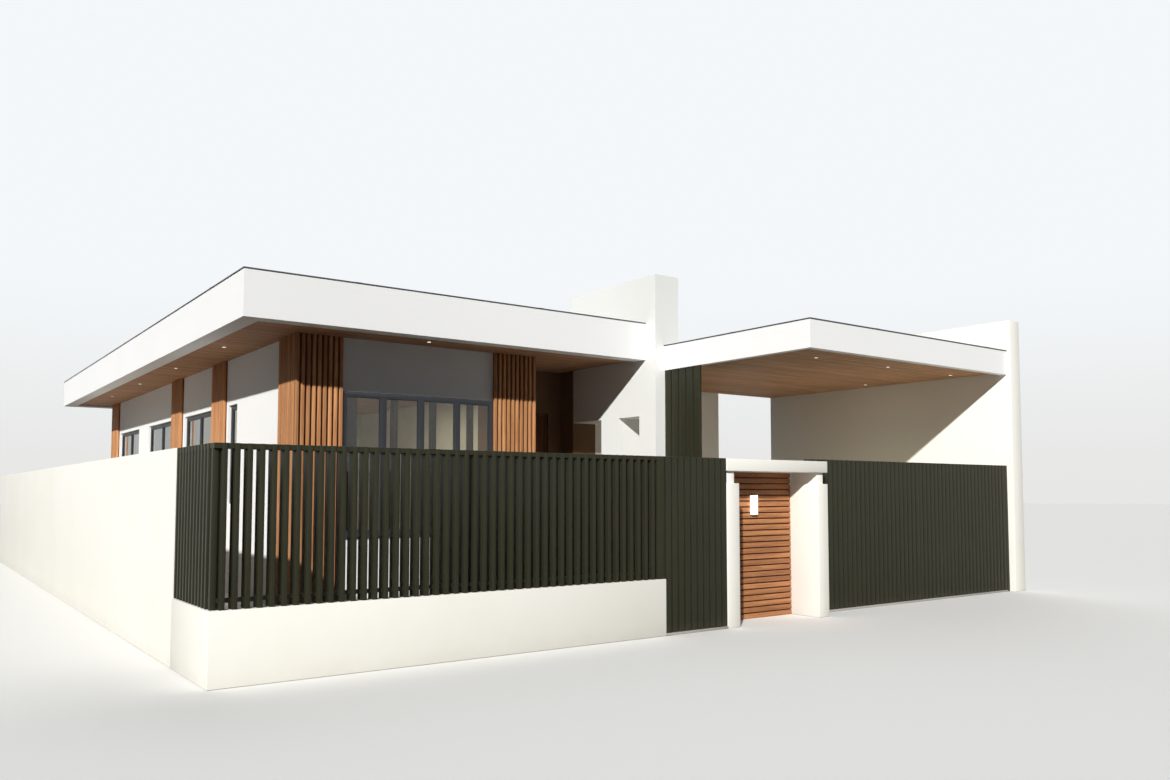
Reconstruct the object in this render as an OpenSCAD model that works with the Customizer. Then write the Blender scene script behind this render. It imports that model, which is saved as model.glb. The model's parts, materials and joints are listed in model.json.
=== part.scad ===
// Single-storey house with a deep flat roof, a carport, a walled yard and slatted gates.
// Millimetres. X runs right along the street, Y runs back from it, Z is up.
// Places are measured from the front left corner of the plot, which is moved
// at the end so that the middle of the plot lies over the origin.

/* [Plot] */
// Width of the plot over both side walls
plot_w = 13610; // [12600:10:16500]
// Depth of the plot
plot_d = 19000; // [15800:50:23000]
// Height of the low side walls
yard_wall_h = 2115; // [1700:5:2600]
// Thickness of the low side walls and the plinth
yard_wall_t = 150; // [100:10:220]
// Height of the solid wall beside the carport above the carport edge
tall_wall_rise = 539; // [400:1:700]
// Thickness of the solid wall beside the carport
tall_wall_t = 315; // [200:5:400]
// Distance of the front end of that wall from the street line
tall_wall_y = 206; // [150:1:250]

/* [Front fence] */
// Length of the plinth along the street
plinth_w = 5190; // [4300:10:6300]
// Height of the plinth
plinth_h = 665; // [400:5:900]
// Length of the slatted screen that turns the corner
return_d = 1310; // [1000:10:1700]
// Spacing of the fence slats
slat_pitch = 108; // [90:1:130]
// Width of a fence slat
slat_w = 45; // [35:1:60]
// Depth of a fence slat from front to back
slat_d = 125; // [100:1:128]
// Step from the plinth face back to the slats
slat_setback = 20; // [10:1:40]
// Distance of the first front slat from the left edge of the plot
slat_start = 97; // [85:1:120]
// Width of the flat post beside the gate
end_post_w = 115; // [90:1:140]
// Gap between the last slat and that post
end_gap = 42; // [30:1:60]
// Side of the square rails, and of the post between the slats
rail_w = 40; // [30:1:50]
// Height of the rail along the top of the fence
top_rail_h = 50; // [40:1:60]
// Step from the slat fronts back to the top rail
top_rail_in = 8; // [5:1:15]
// Side of the square corner post
corner_post_w = 50; // [40:1:60]
// Step from the slat fronts back to the corner post
corner_post_in = 45; // [35:1:60]
// Height of the lower fence rail above the plinth
rail_lift = 60; // [40:5:150]

/* [Gates] */
// Width of the doorway for people
foot_gate_w = 1022; // [830:1:1230]
// Gap under the gates
gate_lift = 35; // [25:1:60]
// Height of the sill under the gates
sill_h = 27; // [20:1:30]
// Height of the driveway gate
drive_gate_h = 2155; // [1800:5:2600]
// Distance of the driveway gate from the street line
drive_gate_y = 312; // [250:1:400]
// Side of a driveway gate post
gate_post_w = 80; // [60:1:100]
// Spacing of the gate slats
gate_pitch = 102; // [90:1:120]
// Width of a gate slat
gate_slat_w = 80; // [65:1:86]
// Depth of a gate slat
gate_slat_t = 30; // [20:1:40]
// Gap between a gate leaf and what stands beside it
leaf_gap = 10; // [8:1:16]
// Step from the plinth face back to the gate for people
foot_gate_setback = 10; // [5:1:30]
// Radius of a hinge pin
pin_r = 9; // [7:0.5:12]
// Height of a hinge barrel
barrel_h = 70; // [50:1:90]
// Thickness of a hinge barrel
barrel_wall = 8; // [5:0.5:10]
// Thickness of the bracket under a hinge barrel
bracket_t = 12; // [8:1:16]
// Width of the bracket on each side of its pin
bracket_edge = 5; // [4:1:7]
// Distance of a hinge barrel in from the edge of its leaf
barrel_in = 1; // [1:1:4]
// Distance of a hinge from the end of its leaf
hinge_end = 280; // [150:10:400]
// Gap between a pin and its barrel
pin_gap = 0.4; // [0.2:0.1:0.6]

/* [Street niche] */
// Width of the niche over its two walls
niche_w = 1929; // [1600:1:2310]
// Depth of the niche
niche_d = 545; // [450:5:650]
// Thickness of a niche wall
niche_wall_t = 210; // [170:5:260]
// Height of the top of the niche slab
niche_h = 2112; // [1760:1:2540]
// Thickness of the niche slab
niche_slab_t = 155; // [120:1:190]
// Height of the narrow neck under the slab
niche_neck_h = 155; // [120:1:190]
// Step of the neck in from the wall faces
niche_neck_in = 45; // [30:1:60]
// Spacing of the level timber boards in the niche
niche_board_pitch = 78; // [65:1:94]
// Height of a level timber board
niche_board_h = 62; // [52:1:64]
// Thickness of a level timber board
niche_board_t = 22; // [15:1:30]
// Depth of the upright battens behind the boards
niche_batten_t = 38; // [25:1:50]

/* [House] */
// Distance from the left edge of the plot to the house wall
house_x = 2395; // [2000:5:2850]
// Distance from the street line to the front wall
house_y = 4680; // [4400:10:5600]
// Distance from the house to the back of the plot
house_back = 600; // [500:10:720]
// Width of the passage right of the house
house_right = 1905; // [1600:5:2300]
// Thickness of the house walls
wall_t = 150; // [125:5:180]
// Width of the open porch
porch_w = 1560; // [1300:10:1870]
// Depth of the open porch
porch_d = 1450; // [1210:10:1740]
// Distance from the front wall back to the wall behind the carport
carport_wall_d = 1040; // [870:10:1250]
// Height of the floor above the ground
floor_h = 300; // [250:5:360]
// Rise of one porch step, near which the floor height is divided
step_rise = 150; // [130:1:180]
// Going of one porch step
step_going = 300; // [250:5:360]
// Height of the window and door heads
head_h = 3172; // [2650:1:3500]
// Height of the front room's ceiling above the window heads
room_ceiling_up = 258; // [220:1:330]
// Height of the inner doorway above the floor
room_door_h = 2100; // [1950:10:2500]
// Distance of that doorway behind the porch wall
room_door_in = 400; // [200:10:600]
// Width of the entrance door
door_w = 1000; // [850:10:1200]
// Width of the door from the carport
side_door_w = 900; // [750:10:1080]
// Distance of that door from the corner of the house
side_door_in = 540; // [300:10:900]
// Thickness of a door leaf
door_t = 45; // [35:1:55]

/* [Windows] */
// Panes in the front window
front_panes = 4; // [2:1:6]
// Height of the front window sill
front_sill = 1050; // [900:10:1250]
// Height of the side window sills
side_sill = 1500; // [1250:10:1800]
// Width from which a side window has two panes
two_pane_w = 900; // [700:10:1000]
// Distance of a window or door frame behind the wall face
frame_set = 45; // [30:1:60]
// Step of the front window frame out from the wall face, between the timber blocks
front_frame_out = 20; // [10:1:30]
// Face width of a window frame bar
frame_w = 55; // [40:1:70]
// Depth of a window frame bar
frame_d = 60; // [45:1:70]
// Thickness of the glass
glass_t = 8; // [6:1:10]
// Width of the slot window in front of the near pier
slot_window_w = 500; // [400:10:800]
// Length of wall between the two windows of the far bay
between_windows = 1010; // [840:10:1210]
// Distances of the right windows from the carport wall
right_window_at = [2600, 7300]; // [300:10:10000]
// Widths of the right windows
right_window_w = [1800, 2000]; // [600:10:2400]
// Distances of the rear windows from the right wall
rear_window_at = [1500, 5900]; // [300:10:6500]
// Widths of the rear windows
rear_window_w = [2000, 1800]; // [600:10:2400]

/* [Timber cladding] */
// Length of the corner block along each wall
corner_w = 695; // [580:5:830]
// Proud depth of the cladding
clad_proud = 60; // [45:1:75]
// Width of the block beside the porch
block_w = 795; // [680:5:970]
// Width of a side pier
pier_w = 750; // [620:5:900]
// Distance of the near pier from the front wall
near_pier_y = 3540; // [2600:10:4200]
// Distance of the middle pier from the near one
mid_pier_step = 3000; // [2500:10:3600]
// Gap between a pier and the window beside it
pier_gap = 110; // [60:5:150]

/* [Main roof] */
// Overhang of the roof past the front wall
eave_front = 1050; // [880:10:1260]
// Overhang of the roof past the left wall
eave_left = 1095; // [890:5:1310]
// Overhang of the roof past the right wall
eave_right = 895; // [750:5:1070]
// Height of the underside of the roof edge
edge_h = 3917; // [3850:1:4700]
// Height of the boarded ceiling above that underside
soffit_up = 38; // [30:1:50]
// Depth of the roof edge
edge_d = 619; // [520:1:740]
// Width of the plain border under the roof edge
border_w = 260; // [210:5:310]
// Thickness of the roof edge board
edge_t = 60; // [50:1:80]
// Thickness of the border and the boarded ceiling
board_t = 25; // [20:1:30]
// Thickness of the roof deck
deck_t = 150; // [120:5:180]
// Step from the top of the roof edge down to the deck
deck_drop = 120; // [90:5:150]
// Height of the dark drip trim
trim_h = 15; // [12:1:20]
// Proud depth of the dark drip trim
trim_proud = 12; // [8:1:16]

/* [Blade wall] */
// Thickness of the tall blade wall
blade_t = 515; // [430:5:620]
// Depth of the blade wall from front to back
blade_d = 2390; // [2200:10:2860]
// Height of the blade wall above the main roof edge
blade_rise = 804; // [670:1:960]
// Run of the top of the blade wall back over the house
blade_back = 48; // [40:1:60]
// Step from the left edge of the carport to the blade wall
blade_step = 193; // [150:1:230]
// Width of the gap through the blade wall
blade_gap_w = 563; // [470:1:670]
// Distance of the gap from the front of the blade wall
blade_gap_y = 423; // [350:1:510]
// Depth of the pier between that gap and the doorway behind it
blade_pier_d = 493; // [410:1:580]
// Height of the heads of the gap and the doorway
blade_gap_h = 2980; // [2480:5:3500]

/* [Carport] */
// Distance from the street line to the carport roof
carport_y = 267; // [220:1:300]
// Drop of the carport edge below the underside of the main roof edge
carport_drop = 186; // [150:1:300]
// Depth of the carport edge
carport_edge_d = 410; // [340:1:490]
// Height of the carport ceiling above its edge
carport_soffit_up = 39; // [30:1:50]
// Step from the top of the carport edge down to its deck
carport_deck_drop = 60; // [40:5:90]
// Width of the plain border under the carport edge
carport_border = 120; // [100:5:140]
// Length of the slatted screen under the carport edge
screen_d = 840; // [700:5:1000]
// Spacing of the screen slats
screen_pitch = 164; // [140:1:190]
// Width of a screen slat
screen_slat_w = 142; // [120:1:150]
// Depth of a screen slat
screen_slat_t = 40; // [25:1:50]
// Distance of the screen from the left edge of the carport
screen_in = 15; // [10:1:30]

/* [Lights] */
// Radius of a ceiling light
light_r = 36; // [30:1:45]
// Drop of a ceiling light below the boards
light_drop = 8; // [6:1:12]
// Distance of the light under the front eave from the front wall
front_light_out = 400; // [300:10:500]
// Distance of that light from the left wall face
front_light_x = 1840; // [1500:10:2200]
// Distance of the lights under the left eave from the left wall
side_light_out = 505; // [400:5:600]
// Distance of the first of them from the front wall
side_light_y = 1950; // [1600:10:2400]
// Spacing of the lights under the left eave
side_light_step = 3070; // [2500:10:3700]
// Distance of the first carport lights from the front edge
carport_light_y = 790; // [600:10:1000]
// Spacing of the carport lights
carport_light_step = 1810; // [1500:10:2100]
// Distance of the middle row of carport lights from the middle of the carport
carport_light_right = 310; // [0:10:450]
// Width of the light in the niche
wall_light_w = 110; // [90:1:135]
// Height of the light in the niche
wall_light_h = 270; // [220:1:330]
// Depth of the light in the niche
wall_light_t = 45; // [35:1:55]
// Height of the foot of that light above the ground
wall_light_z = 1385; // [1150:5:1600]
// Distance of that light from the left niche wall
wall_light_x = 700; // [450:5:900]

/* [Hidden] */
$fn = 32;

// Places along the street
gate_x0 = plinth_w;
niche_x0 = gate_x0 + foot_gate_w;
niche_x1 = niche_x0 + niche_w;
tall_x0 = plot_w - tall_wall_t;
drive_w = tall_x0 - niche_x1;
carport_x0 = niche_x1;
blade_x0 = carport_x0 - blade_step;
blade_x1 = blade_x0 + blade_t;
house_x1 = plot_w - house_right;
porch_x0 = blade_x0 - porch_w;

// Places back from the street
porch_y = house_y + porch_d;
carport_wall_y = house_y + carport_wall_d;
house_y1 = plot_d - house_back;
house_d = house_y1 - house_y;
blade_y1 = carport_wall_y + blade_back;
blade_y0 = blade_y1 - blade_d;
doorway_y = blade_y0 + blade_gap_y + blade_gap_w + blade_pier_d;
roof_y0 = house_y - eave_front;
roof_y1 = plot_d - trim_proud;

// Left piers and windows, as distances from the front wall
mid_pier_y = near_pier_y + mid_pier_step;
far_pier_y = house_d - pier_w;
piers = [near_pier_y, mid_pier_y, far_pier_y];
far_bay = far_pier_y - mid_pier_y - pier_w;
far_window_w = (far_bay - 2 * pier_gap - between_windows) / 2;
left_windows = [
    [near_pier_y - pier_gap - slot_window_w, slot_window_w],
    [near_pier_y + pier_w + pier_gap, mid_pier_step - pier_w - 2 * pier_gap],
    [mid_pier_y + pier_w + pier_gap, far_window_w],
    [far_pier_y - pier_gap - far_window_w, far_window_w]];
room_y = house_y + mid_pier_y + (pier_w - wall_t) / 2;
right_windows = [for (i = [0, 1]) [right_window_at[i], right_window_w[i]]];
rear_windows = [for (i = [0, 1]) [rear_window_at[i], rear_window_w[i]]];

// Heights
soffit_h = edge_h + soffit_up;
room_ceiling_h = head_h + room_ceiling_up;
edge_top = edge_h + edge_d;
deck_top = edge_top - deck_drop;
blade_h = edge_top + blade_rise;
carport_edge_h = edge_h - carport_drop;
carport_top = carport_edge_h + carport_edge_d;
carport_soffit_h = carport_edge_h + carport_soffit_up;
tall_wall_h = carport_top + tall_wall_rise;
fence_slat_h = yard_wall_h - plinth_h;

white = [0.94, 0.93, 0.90];
cream = [0.95, 0.93, 0.87];
brown = [0.36, 0.28, 0.22];
dark = [0.19, 0.19, 0.16];
timber = [0.62, 0.38, 0.22];
ceiling_timber = [0.47, 0.31, 0.21];
frame_grey = [0.14, 0.15, 0.17];
concrete = [0.66, 0.65, 0.62];
glass_tint = [0.55, 0.66, 0.70, 0.6];

module block(x0, x1, y0, y1, z0, z1)
    translate([x0, y0, z0]) cube([x1 - x0, y1 - y0, z1 - z0]);

// A count of slats that fills a length, and the pitch that spreads them evenly
function slat_count(len, w, pitch) = floor((len - w) / pitch) + 1;
function even_pitch(len, w, pitch) = (len - w) / (slat_count(len, w, pitch) - 1);

// Slats of size w by t along +X from the origin, with their backs at y = t
module slat_row(len, w, t, h, pitch) {
    step = even_pitch(len, w, pitch);
    for (i = [0 : slat_count(len, w, pitch) - 1])
        translate([i * step, 0, 0]) cube([w, t, h]);
}

// Yard walls and fence

module left_yard_wall() color(cream)
    block(0, yard_wall_t, return_d, plot_d, 0, yard_wall_h);

module right_tall_wall() color(cream)
    block(tall_x0, plot_w, tall_wall_y, carport_wall_y, 0, tall_wall_h);

module right_yard_wall() color(cream)
    block(plot_w - yard_wall_t, plot_w, carport_wall_y, plot_d, 0, yard_wall_h);

module front_plinth() color(cream) {
    block(0, plinth_w, 0, yard_wall_t, 0, plinth_h);
    block(0, yard_wall_t, yard_wall_t, return_d, 0, plinth_h);
}

// Low beams between the wall ends, under the closed gates
module gate_sills() color(concrete) {
    block(gate_x0, niche_x0, 0, yard_wall_t, 0, sill_h);
    block(niche_x1 + gate_post_w, tall_x0 - gate_post_w, drive_gate_y - leaf_gap,
          drive_gate_y - leaf_gap + yard_wall_t, 0, sill_h);
}

slats_x1 = plinth_w - end_post_w - end_gap;
slats_back = slat_setback + slat_d;
top_rail_z = fence_slat_h - top_rail_h;
top_rail_face = slat_setback + top_rail_in;
corner_x1 = top_rail_face + corner_post_w;
corner_y0 = slat_setback + corner_post_in;
corner_y1 = corner_y0 + corner_post_w;

// Row of slats with a rail through them near the foot and one along the top
module front_screen() color(dark) translate([0, 0, plinth_h]) {
    translate([slat_start, slat_setback, 0])
        slat_row(slats_x1 - slat_start, slat_w, slat_d, fence_slat_h, slat_pitch);
    block(top_rail_face, plinth_w - end_post_w, top_rail_face, slats_back,
          top_rail_z, fence_slat_h);
    block(corner_x1, plinth_w - end_post_w, corner_y0, corner_y0 + rail_w,
          rail_lift, rail_lift + rail_w);
}

module side_screen() color(dark) translate([0, 0, plinth_h]) {
    first = slats_back + (slat_pitch - slat_w) / 2;
    translate([slats_back, first, 0]) rotate([0, 0, 90])
        slat_row(return_d - first, slat_w, slat_d, fence_slat_h, slat_pitch);
    block(top_rail_face, slats_back, slats_back, return_d, top_rail_z, fence_slat_h);
    block(corner_x1 - rail_w, corner_x1, corner_y1, return_d, rail_lift, rail_lift + rail_w);
}

// Corner post, a post in the gap nearest the middle, and the flat post beside the gate
module fence_posts() color(dark) translate([0, 0, plinth_h]) {
    step = even_pitch(slats_x1 - slat_start, slat_w, slat_pitch);
    gap = floor(slat_count(slats_x1 - slat_start, slat_w, slat_pitch) / 2);
    x = slat_start + gap * step - (step - slat_w + rail_w) / 2;
    block(top_rail_face, corner_x1, corner_y0, corner_y1, 0, top_rail_z);
    block(x, x + rail_w, corner_y0 + rail_w, slats_back, 0, top_rail_z);
    block(plinth_w - end_post_w, plinth_w, slat_setback, slats_back, 0, fence_slat_h);
}

// Gates

// Leaf in its own frame: hinge side at x = 0, street face at y = 0, foot at z = 0
module gate_leaf(w, h) {
    slat_row(w, gate_slat_w, gate_slat_t, h, gate_pitch);
    translate([0, gate_slat_t, 0]) difference() {
        cube([w, rail_w, h]);
        for (i = [0, 1])
            translate([rail_w, -1, rail_w + i * (h - rail_w) / 2])
                cube([w - 2 * rail_w, rail_w + 2, (h - rail_w) / 2 - rail_w]);
    }
}

barrel_r = pin_r + barrel_wall;
bracket_w = 2 * (pin_r + bracket_edge);
leaf_t = gate_slat_t + rail_w;
// The pin stands in from the leaf's edge and behind its back, clear of the swing
pin_in = barrel_r + barrel_in;
pin_back = ceil(bracket_w / sqrt(2)) + leaf_gap / 2;
function hinge_z(h) = [hinge_end, h - hinge_end - barrel_h];

// Ring and link that hang a leaf on its pin, centred on the pin
module barrel(side) difference() {
    union() {
        cylinder(r = barrel_r, h = barrel_h);
        translate([side > 0 ? 0 : -barrel_r, -pin_back, 0])
            cube([barrel_r, pin_back, barrel_h]);
    }
    translate([0, 0, -1]) cylinder(r = pin_r + pin_gap, h = barrel_h + 2);
}

// Pin with the bracket under it that reaches over to its support at x = to_x
module pintle(to_x) {
    x0 = min(-bracket_w / 2, to_x);
    x1 = max(bracket_w / 2, to_x);
    translate([0, 0, -pin_gap]) {
        cylinder(r = pin_r, h = barrel_h + pin_r);
        translate([x0, -bracket_w / 2, -bracket_t]) cube([x1 - x0, bracket_w, bracket_t]);
    }
}

// Gate for people, hung on the niche wall
foot_leaf_w = foot_gate_w - 2 * leaf_gap;
foot_leaf_h = yard_wall_h - gate_lift;
foot_pin_x = niche_x0 - leaf_gap - pin_in;
foot_pin_y = foot_gate_setback + leaf_t + pin_back;

module foot_gate() color(dark) {
    translate([gate_x0 + leaf_gap, foot_gate_setback, gate_lift])
        gate_leaf(foot_leaf_w, foot_leaf_h);
    for (z = hinge_z(foot_leaf_h))
        translate([foot_pin_x, foot_pin_y, gate_lift + z]) barrel(-1);
}

module foot_gate_hinges() color(dark)
    for (z = hinge_z(foot_leaf_h))
        translate([foot_pin_x, foot_pin_y, gate_lift + z]) pintle(niche_x0 - foot_pin_x);

// Driveway gate, hung on a post at each side
drive_leaf_w = drive_w / 2 - gate_post_w - 1.5 * leaf_gap;
drive_leaf_h = drive_gate_h - gate_lift;
drive_left_x = niche_x1 + gate_post_w + leaf_gap;
drive_right_x = tall_x0 - gate_post_w - leaf_gap;

module drive_leaf() {
    gate_leaf(drive_leaf_w, drive_leaf_h);
    for (z = hinge_z(drive_leaf_h)) translate([pin_in, leaf_t + pin_back, z]) barrel(1);
}

module drive_gate_left() color(dark)
    translate([drive_left_x, drive_gate_y, gate_lift]) drive_leaf();

module drive_gate_right() color(dark)
    translate([drive_right_x, drive_gate_y, gate_lift]) mirror([1, 0, 0]) drive_leaf();

// Post with its pins, at the left of the leaf that starts at x = 0
module drive_post() {
    translate([-gate_post_w - leaf_gap, 0, 0])
        cube([gate_post_w, leaf_t + pin_back + bracket_w / 2, drive_gate_h]);
    for (z = hinge_z(drive_leaf_h))
        translate([pin_in, leaf_t + pin_back, gate_lift + z]) pintle(-pin_in - leaf_gap);
}

module drive_gate_posts() color(dark) {
    translate([drive_left_x, drive_gate_y, 0]) drive_post();
    translate([drive_right_x, drive_gate_y, 0]) mirror([1, 0, 0]) drive_post();
}

// Street niche

module niche_wall(x0) {
    z1 = niche_h - niche_slab_t - niche_neck_h;
    block(x0, x0 + niche_wall_t, 0, niche_d, 0, z1);
    block(x0 + niche_neck_in, x0 + niche_wall_t - niche_neck_in,
          niche_neck_in, niche_d - niche_neck_in, z1, z1 + niche_neck_h);
}

module niche_walls() color(cream)
    for (x = [niche_x0, niche_x1 - niche_wall_t]) niche_wall(x);

module niche_slab() color(cream)
    block(niche_x0, niche_x1, 0, niche_d, niche_h - niche_slab_t, niche_h);

board_y = niche_d - niche_batten_t - niche_board_t;
module niche_boards() color(timber) {
    x0 = niche_x0 + niche_wall_t;
    x1 = niche_x1 - niche_wall_t;
    top = niche_h - niche_slab_t;
    n = floor((top - niche_board_h) / niche_board_pitch) + 1;
    step = (top - niche_board_h) / (n - 1);
    for (i = [0 : n - 1])
        block(x0, x1, board_y, board_y + niche_board_t, i * step, i * step + niche_board_h);
    for (x = [x0, (x0 + x1 - rail_w) / 2, x1 - rail_w])
        block(x, x + rail_w, board_y + niche_board_t, niche_d, 0, top);
}

module niche_light() color("white")
    translate([niche_x0 + niche_wall_t + wall_light_x, board_y - wall_light_t, wall_light_z])
        cube([wall_light_w, wall_light_t, wall_light_h]);

// House walls

module hole(x0, x1, z0, z1) translate([x0, -1, z0]) cube([x1 - x0, wall_t + 2, z1 - z0]);

// Wall of length len along +X from the origin, its face at y = 0
module wall_run(len) difference() {
    cube([len, wall_t, soffit_h]);
    children();
}

front_x0 = house_x + corner_w - clad_proud;
front_x1 = porch_x0 - block_w;

module at_front() translate([house_x, house_y, 0]) children();
module at_left() translate([house_x, house_y1, 0]) rotate([0, 0, -90]) children();
module at_right() translate([house_x1, carport_wall_y + wall_t, 0]) rotate([0, 0, 90]) children();
module at_rear() translate([house_x1 - wall_t, house_y1, 0]) rotate([0, 0, 180]) children();
module at_porch() translate([porch_x0 - wall_t, porch_y, 0]) children();
module at_carport() translate([blade_x1, carport_wall_y, 0]) children();

left_len = house_d - wall_t;
right_len = house_y1 - carport_wall_y - wall_t;
rear_len = house_x1 - house_x - 2 * wall_t;

module front_wall() color(white) at_front()
    wall_run(porch_x0 - house_x) hole(front_x0 - house_x, front_x1 - house_x, front_sill, head_h);

module left_wall() color(white) at_left() wall_run(left_len)
    for (w = left_windows)
        hole(house_d - w[0] - w[1], house_d - w[0], side_sill, head_h);

module right_wall() color(white) at_right() wall_run(right_len)
    for (w = right_windows) hole(w[0], w[0] + w[1], side_sill, head_h);

module rear_wall() color(white) at_rear() wall_run(rear_len)
    for (w = rear_windows) hole(w[0], w[0] + w[1], side_sill, head_h);

// The right one is as thick as the blade wall, whose top it carries
module porch_side_walls() color(brown) {
    block(porch_x0 - wall_t, porch_x0, house_y + wall_t, porch_y, 0, soffit_h);
    block(blade_x0, blade_x1, carport_wall_y, porch_y + wall_t, 0, soffit_h);
}

door_x = porch_w / 2 - door_w / 2 + wall_t;
module porch_back_wall() color(brown) at_porch()
    wall_run(porch_w + wall_t) hole(door_x, door_x + door_w, floor_h, head_h);

// Inner walls of the front room, which shows through its window
module room_walls() color(white) difference() {
    union() {
        block(porch_x0 - wall_t, porch_x0, porch_y + wall_t, room_y + wall_t, floor_h, soffit_h);
        block(house_x + wall_t, porch_x0 - wall_t, room_y, room_y + wall_t, floor_h, soffit_h);
    }
    translate([porch_x0 - wall_t - 1, porch_y + wall_t + room_door_in, floor_h - 1])
        cube([wall_t + 2, side_door_w, room_door_h + 1]);
}

side_door_x = house_x1 - blade_x1 - side_door_in - side_door_w;
module carport_back_wall() color(white) at_carport()
    wall_run(house_x1 - blade_x1) hole(side_door_x, side_door_x + side_door_w, floor_h, head_h);

module floor_slab() color(concrete) {
    block(house_x + wall_t, porch_x0 - wall_t, house_y + wall_t, porch_y + wall_t, 0, floor_h);
    block(blade_x1, house_x1 - wall_t, carport_wall_y + wall_t, porch_y + wall_t, 0, floor_h);
    block(house_x + wall_t, house_x1 - wall_t, porch_y + wall_t, house_y1 - wall_t, 0, floor_h);
}

// Porch floor that goes on through the doorway, with steps down to the front and the carport
module porch_steps() color(concrete) {
    block(porch_x0, blade_x0, house_y, porch_y, 0, floor_h);
    block(blade_x0, blade_x1, doorway_y, carport_wall_y, 0, floor_h);
    n = round(floor_h / step_rise);
    for (i = [1 : 1 : n - 1]) {
        z = floor_h * (1 - i / n);
        block(porch_x0, blade_x0, house_y - i * step_going, house_y - (i - 1) * step_going, 0, z);
        block(blade_x1 + (i - 1) * step_going, blade_x1 + i * step_going,
              doorway_y, carport_wall_y, 0, z);
    }
}

// Doors and windows

module door_leaf(x0, w) {
    difference() {
        translate([x0, frame_set, floor_h]) cube([w, frame_d, head_h - floor_h]);
        translate([x0 + frame_w, frame_set - 1, floor_h])
            cube([w - 2 * frame_w, frame_d + 2, head_h - floor_h - frame_w]);
    }
    translate([x0 + frame_w, frame_set + (frame_d - door_t) / 2, floor_h])
        cube([w - 2 * frame_w, door_t, head_h - floor_h - frame_w]);
}

module entrance_door() color(timber) at_porch() door_leaf(door_x, door_w);

module side_door() color(frame_grey) at_carport() door_leaf(side_door_x, side_door_w);

// Frame of n panes that fills an opening, set back from the wall face
module pane_frame(x0, w, sill, n, set = frame_set) translate([x0, set, sill]) difference() {
    cube([w, frame_d, head_h - sill]);
    pane = (w - (n + 1) * frame_w) / n;
    for (i = [0 : n - 1])
        translate([frame_w + i * (pane + frame_w), -1, frame_w])
            cube([pane, frame_d + 2, head_h - sill - 2 * frame_w]);
}

module panes(x0, w, sill, n, set = frame_set) {
    pane = (w - (n + 1) * frame_w) / n;
    for (i = [0 : n - 1])
        translate([x0 + frame_w + i * (pane + frame_w),
                   set + frame_d / 2 - glass_t / 2, sill + frame_w])
            cube([pane, glass_t, head_h - sill - 2 * frame_w]);
}

function pane_count(w) = w < two_pane_w ? 1 : 2;

module front_window_frame() color(frame_grey) at_front()
    pane_frame(front_x0 - house_x, front_x1 - front_x0, front_sill, front_panes,
               -front_frame_out);

module front_window_glass() color(glass_tint) at_front()
    panes(front_x0 - house_x, front_x1 - front_x0, front_sill, front_panes, -front_frame_out);

// Does its children for each window of the other three walls, with its place and width
module at_side_windows() {
    at_left() for (w = left_windows) {
        $at = house_d - w[0] - w[1];
        $w = w[1];
        children();
    }
    at_right() for (w = right_windows) {
        $at = w[0];
        $w = w[1];
        children();
    }
    at_rear() for (w = rear_windows) {
        $at = w[0];
        $w = w[1];
        children();
    }
}

module side_window_frames() color(frame_grey) at_side_windows()
    pane_frame($at, $w, side_sill, pane_count($w));

module side_window_glass() color(glass_tint) at_side_windows()
    panes($at, $w, side_sill, pane_count($w));

// Timber cladding

module corner_cladding() color(timber) {
    x0 = house_x - clad_proud;
    block(x0, x0 + corner_w, house_y - clad_proud, house_y, 0, soffit_h);
    block(x0, house_x, house_y, house_y + corner_w, 0, soffit_h);
}

module porch_cladding() color(timber)
    block(front_x1, porch_x0, house_y - clad_proud, house_y, 0, soffit_h);

module side_piers() color(timber)
    for (y = piers)
        block(house_x - clad_proud, house_x, house_y + y, house_y + y + pier_w, 0, soffit_h);

// Blade wall

module blade_hole(y0, y1, z0, z1) block(blade_x0 - 1, blade_x1 + 1, y0, y1, z0, z1);

module blade_wall() color(white) difference() {
    block(blade_x0, blade_x1, blade_y0, blade_y1, 0, blade_h);
    blade_hole(blade_y0 + blade_gap_y, blade_y0 + blade_gap_y + blade_gap_w, -1, blade_gap_h);
    blade_hole(doorway_y, carport_wall_y, -1, blade_gap_h);
    blade_hole(carport_wall_y, blade_y1 + 1, -1, soffit_h);
}

// Main roof

roof_outline = [[house_x - eave_left, roof_y0], [blade_x0, roof_y0],
                [blade_x0, blade_y1], [blade_x1, blade_y1], [blade_x1, carport_wall_y],
                [house_x1 + eave_right, carport_wall_y], [house_x1 + eave_right, roof_y1],
                [house_x - eave_left, roof_y1]];

module roof_plan(inset) polygon([
    roof_outline[0] + [inset, inset], roof_outline[1] + [0, inset],
    roof_outline[2], roof_outline[3], roof_outline[4] + [0, inset],
    roof_outline[5] + [-inset, inset], roof_outline[6] + [-inset, -inset],
    roof_outline[7] + [inset, -inset]]);

// Edge boards with a plain border under them, cut away where they lie on the house walls
module roof_edge() color(white) difference() {
    union() {
        translate([0, 0, edge_h]) linear_extrude(edge_d) difference() {
            roof_plan(0);
            roof_plan(edge_t);
        }
        translate([0, 0, edge_h]) linear_extrude(board_t) difference() {
            roof_plan(edge_t);
            roof_plan(border_w);
        }
    }
    block(blade_x1 - 1, house_x1, carport_wall_y - 1, carport_wall_y + border_w + 1,
          edge_h - 1, soffit_h);
}

module roof_deck() color(concrete)
    translate([0, 0, deck_top - deck_t]) linear_extrude(deck_t) roof_plan(edge_t);

// Boarded ceilings under the roof and in the front room
module roof_ceiling() color(ceiling_timber) {
    translate([0, 0, soffit_h]) linear_extrude(board_t) roof_plan(edge_t);
    block(house_x + wall_t, porch_x0 - wall_t, house_y + wall_t, room_y,
          room_ceiling_h, room_ceiling_h + board_t);
}

// Carport

carport_outline = [[carport_x0, carport_y], [tall_x0, carport_y], [tall_x0, carport_wall_y],
                   [blade_x1, carport_wall_y], [blade_x1, blade_y0], [carport_x0, blade_y0]];

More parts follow.
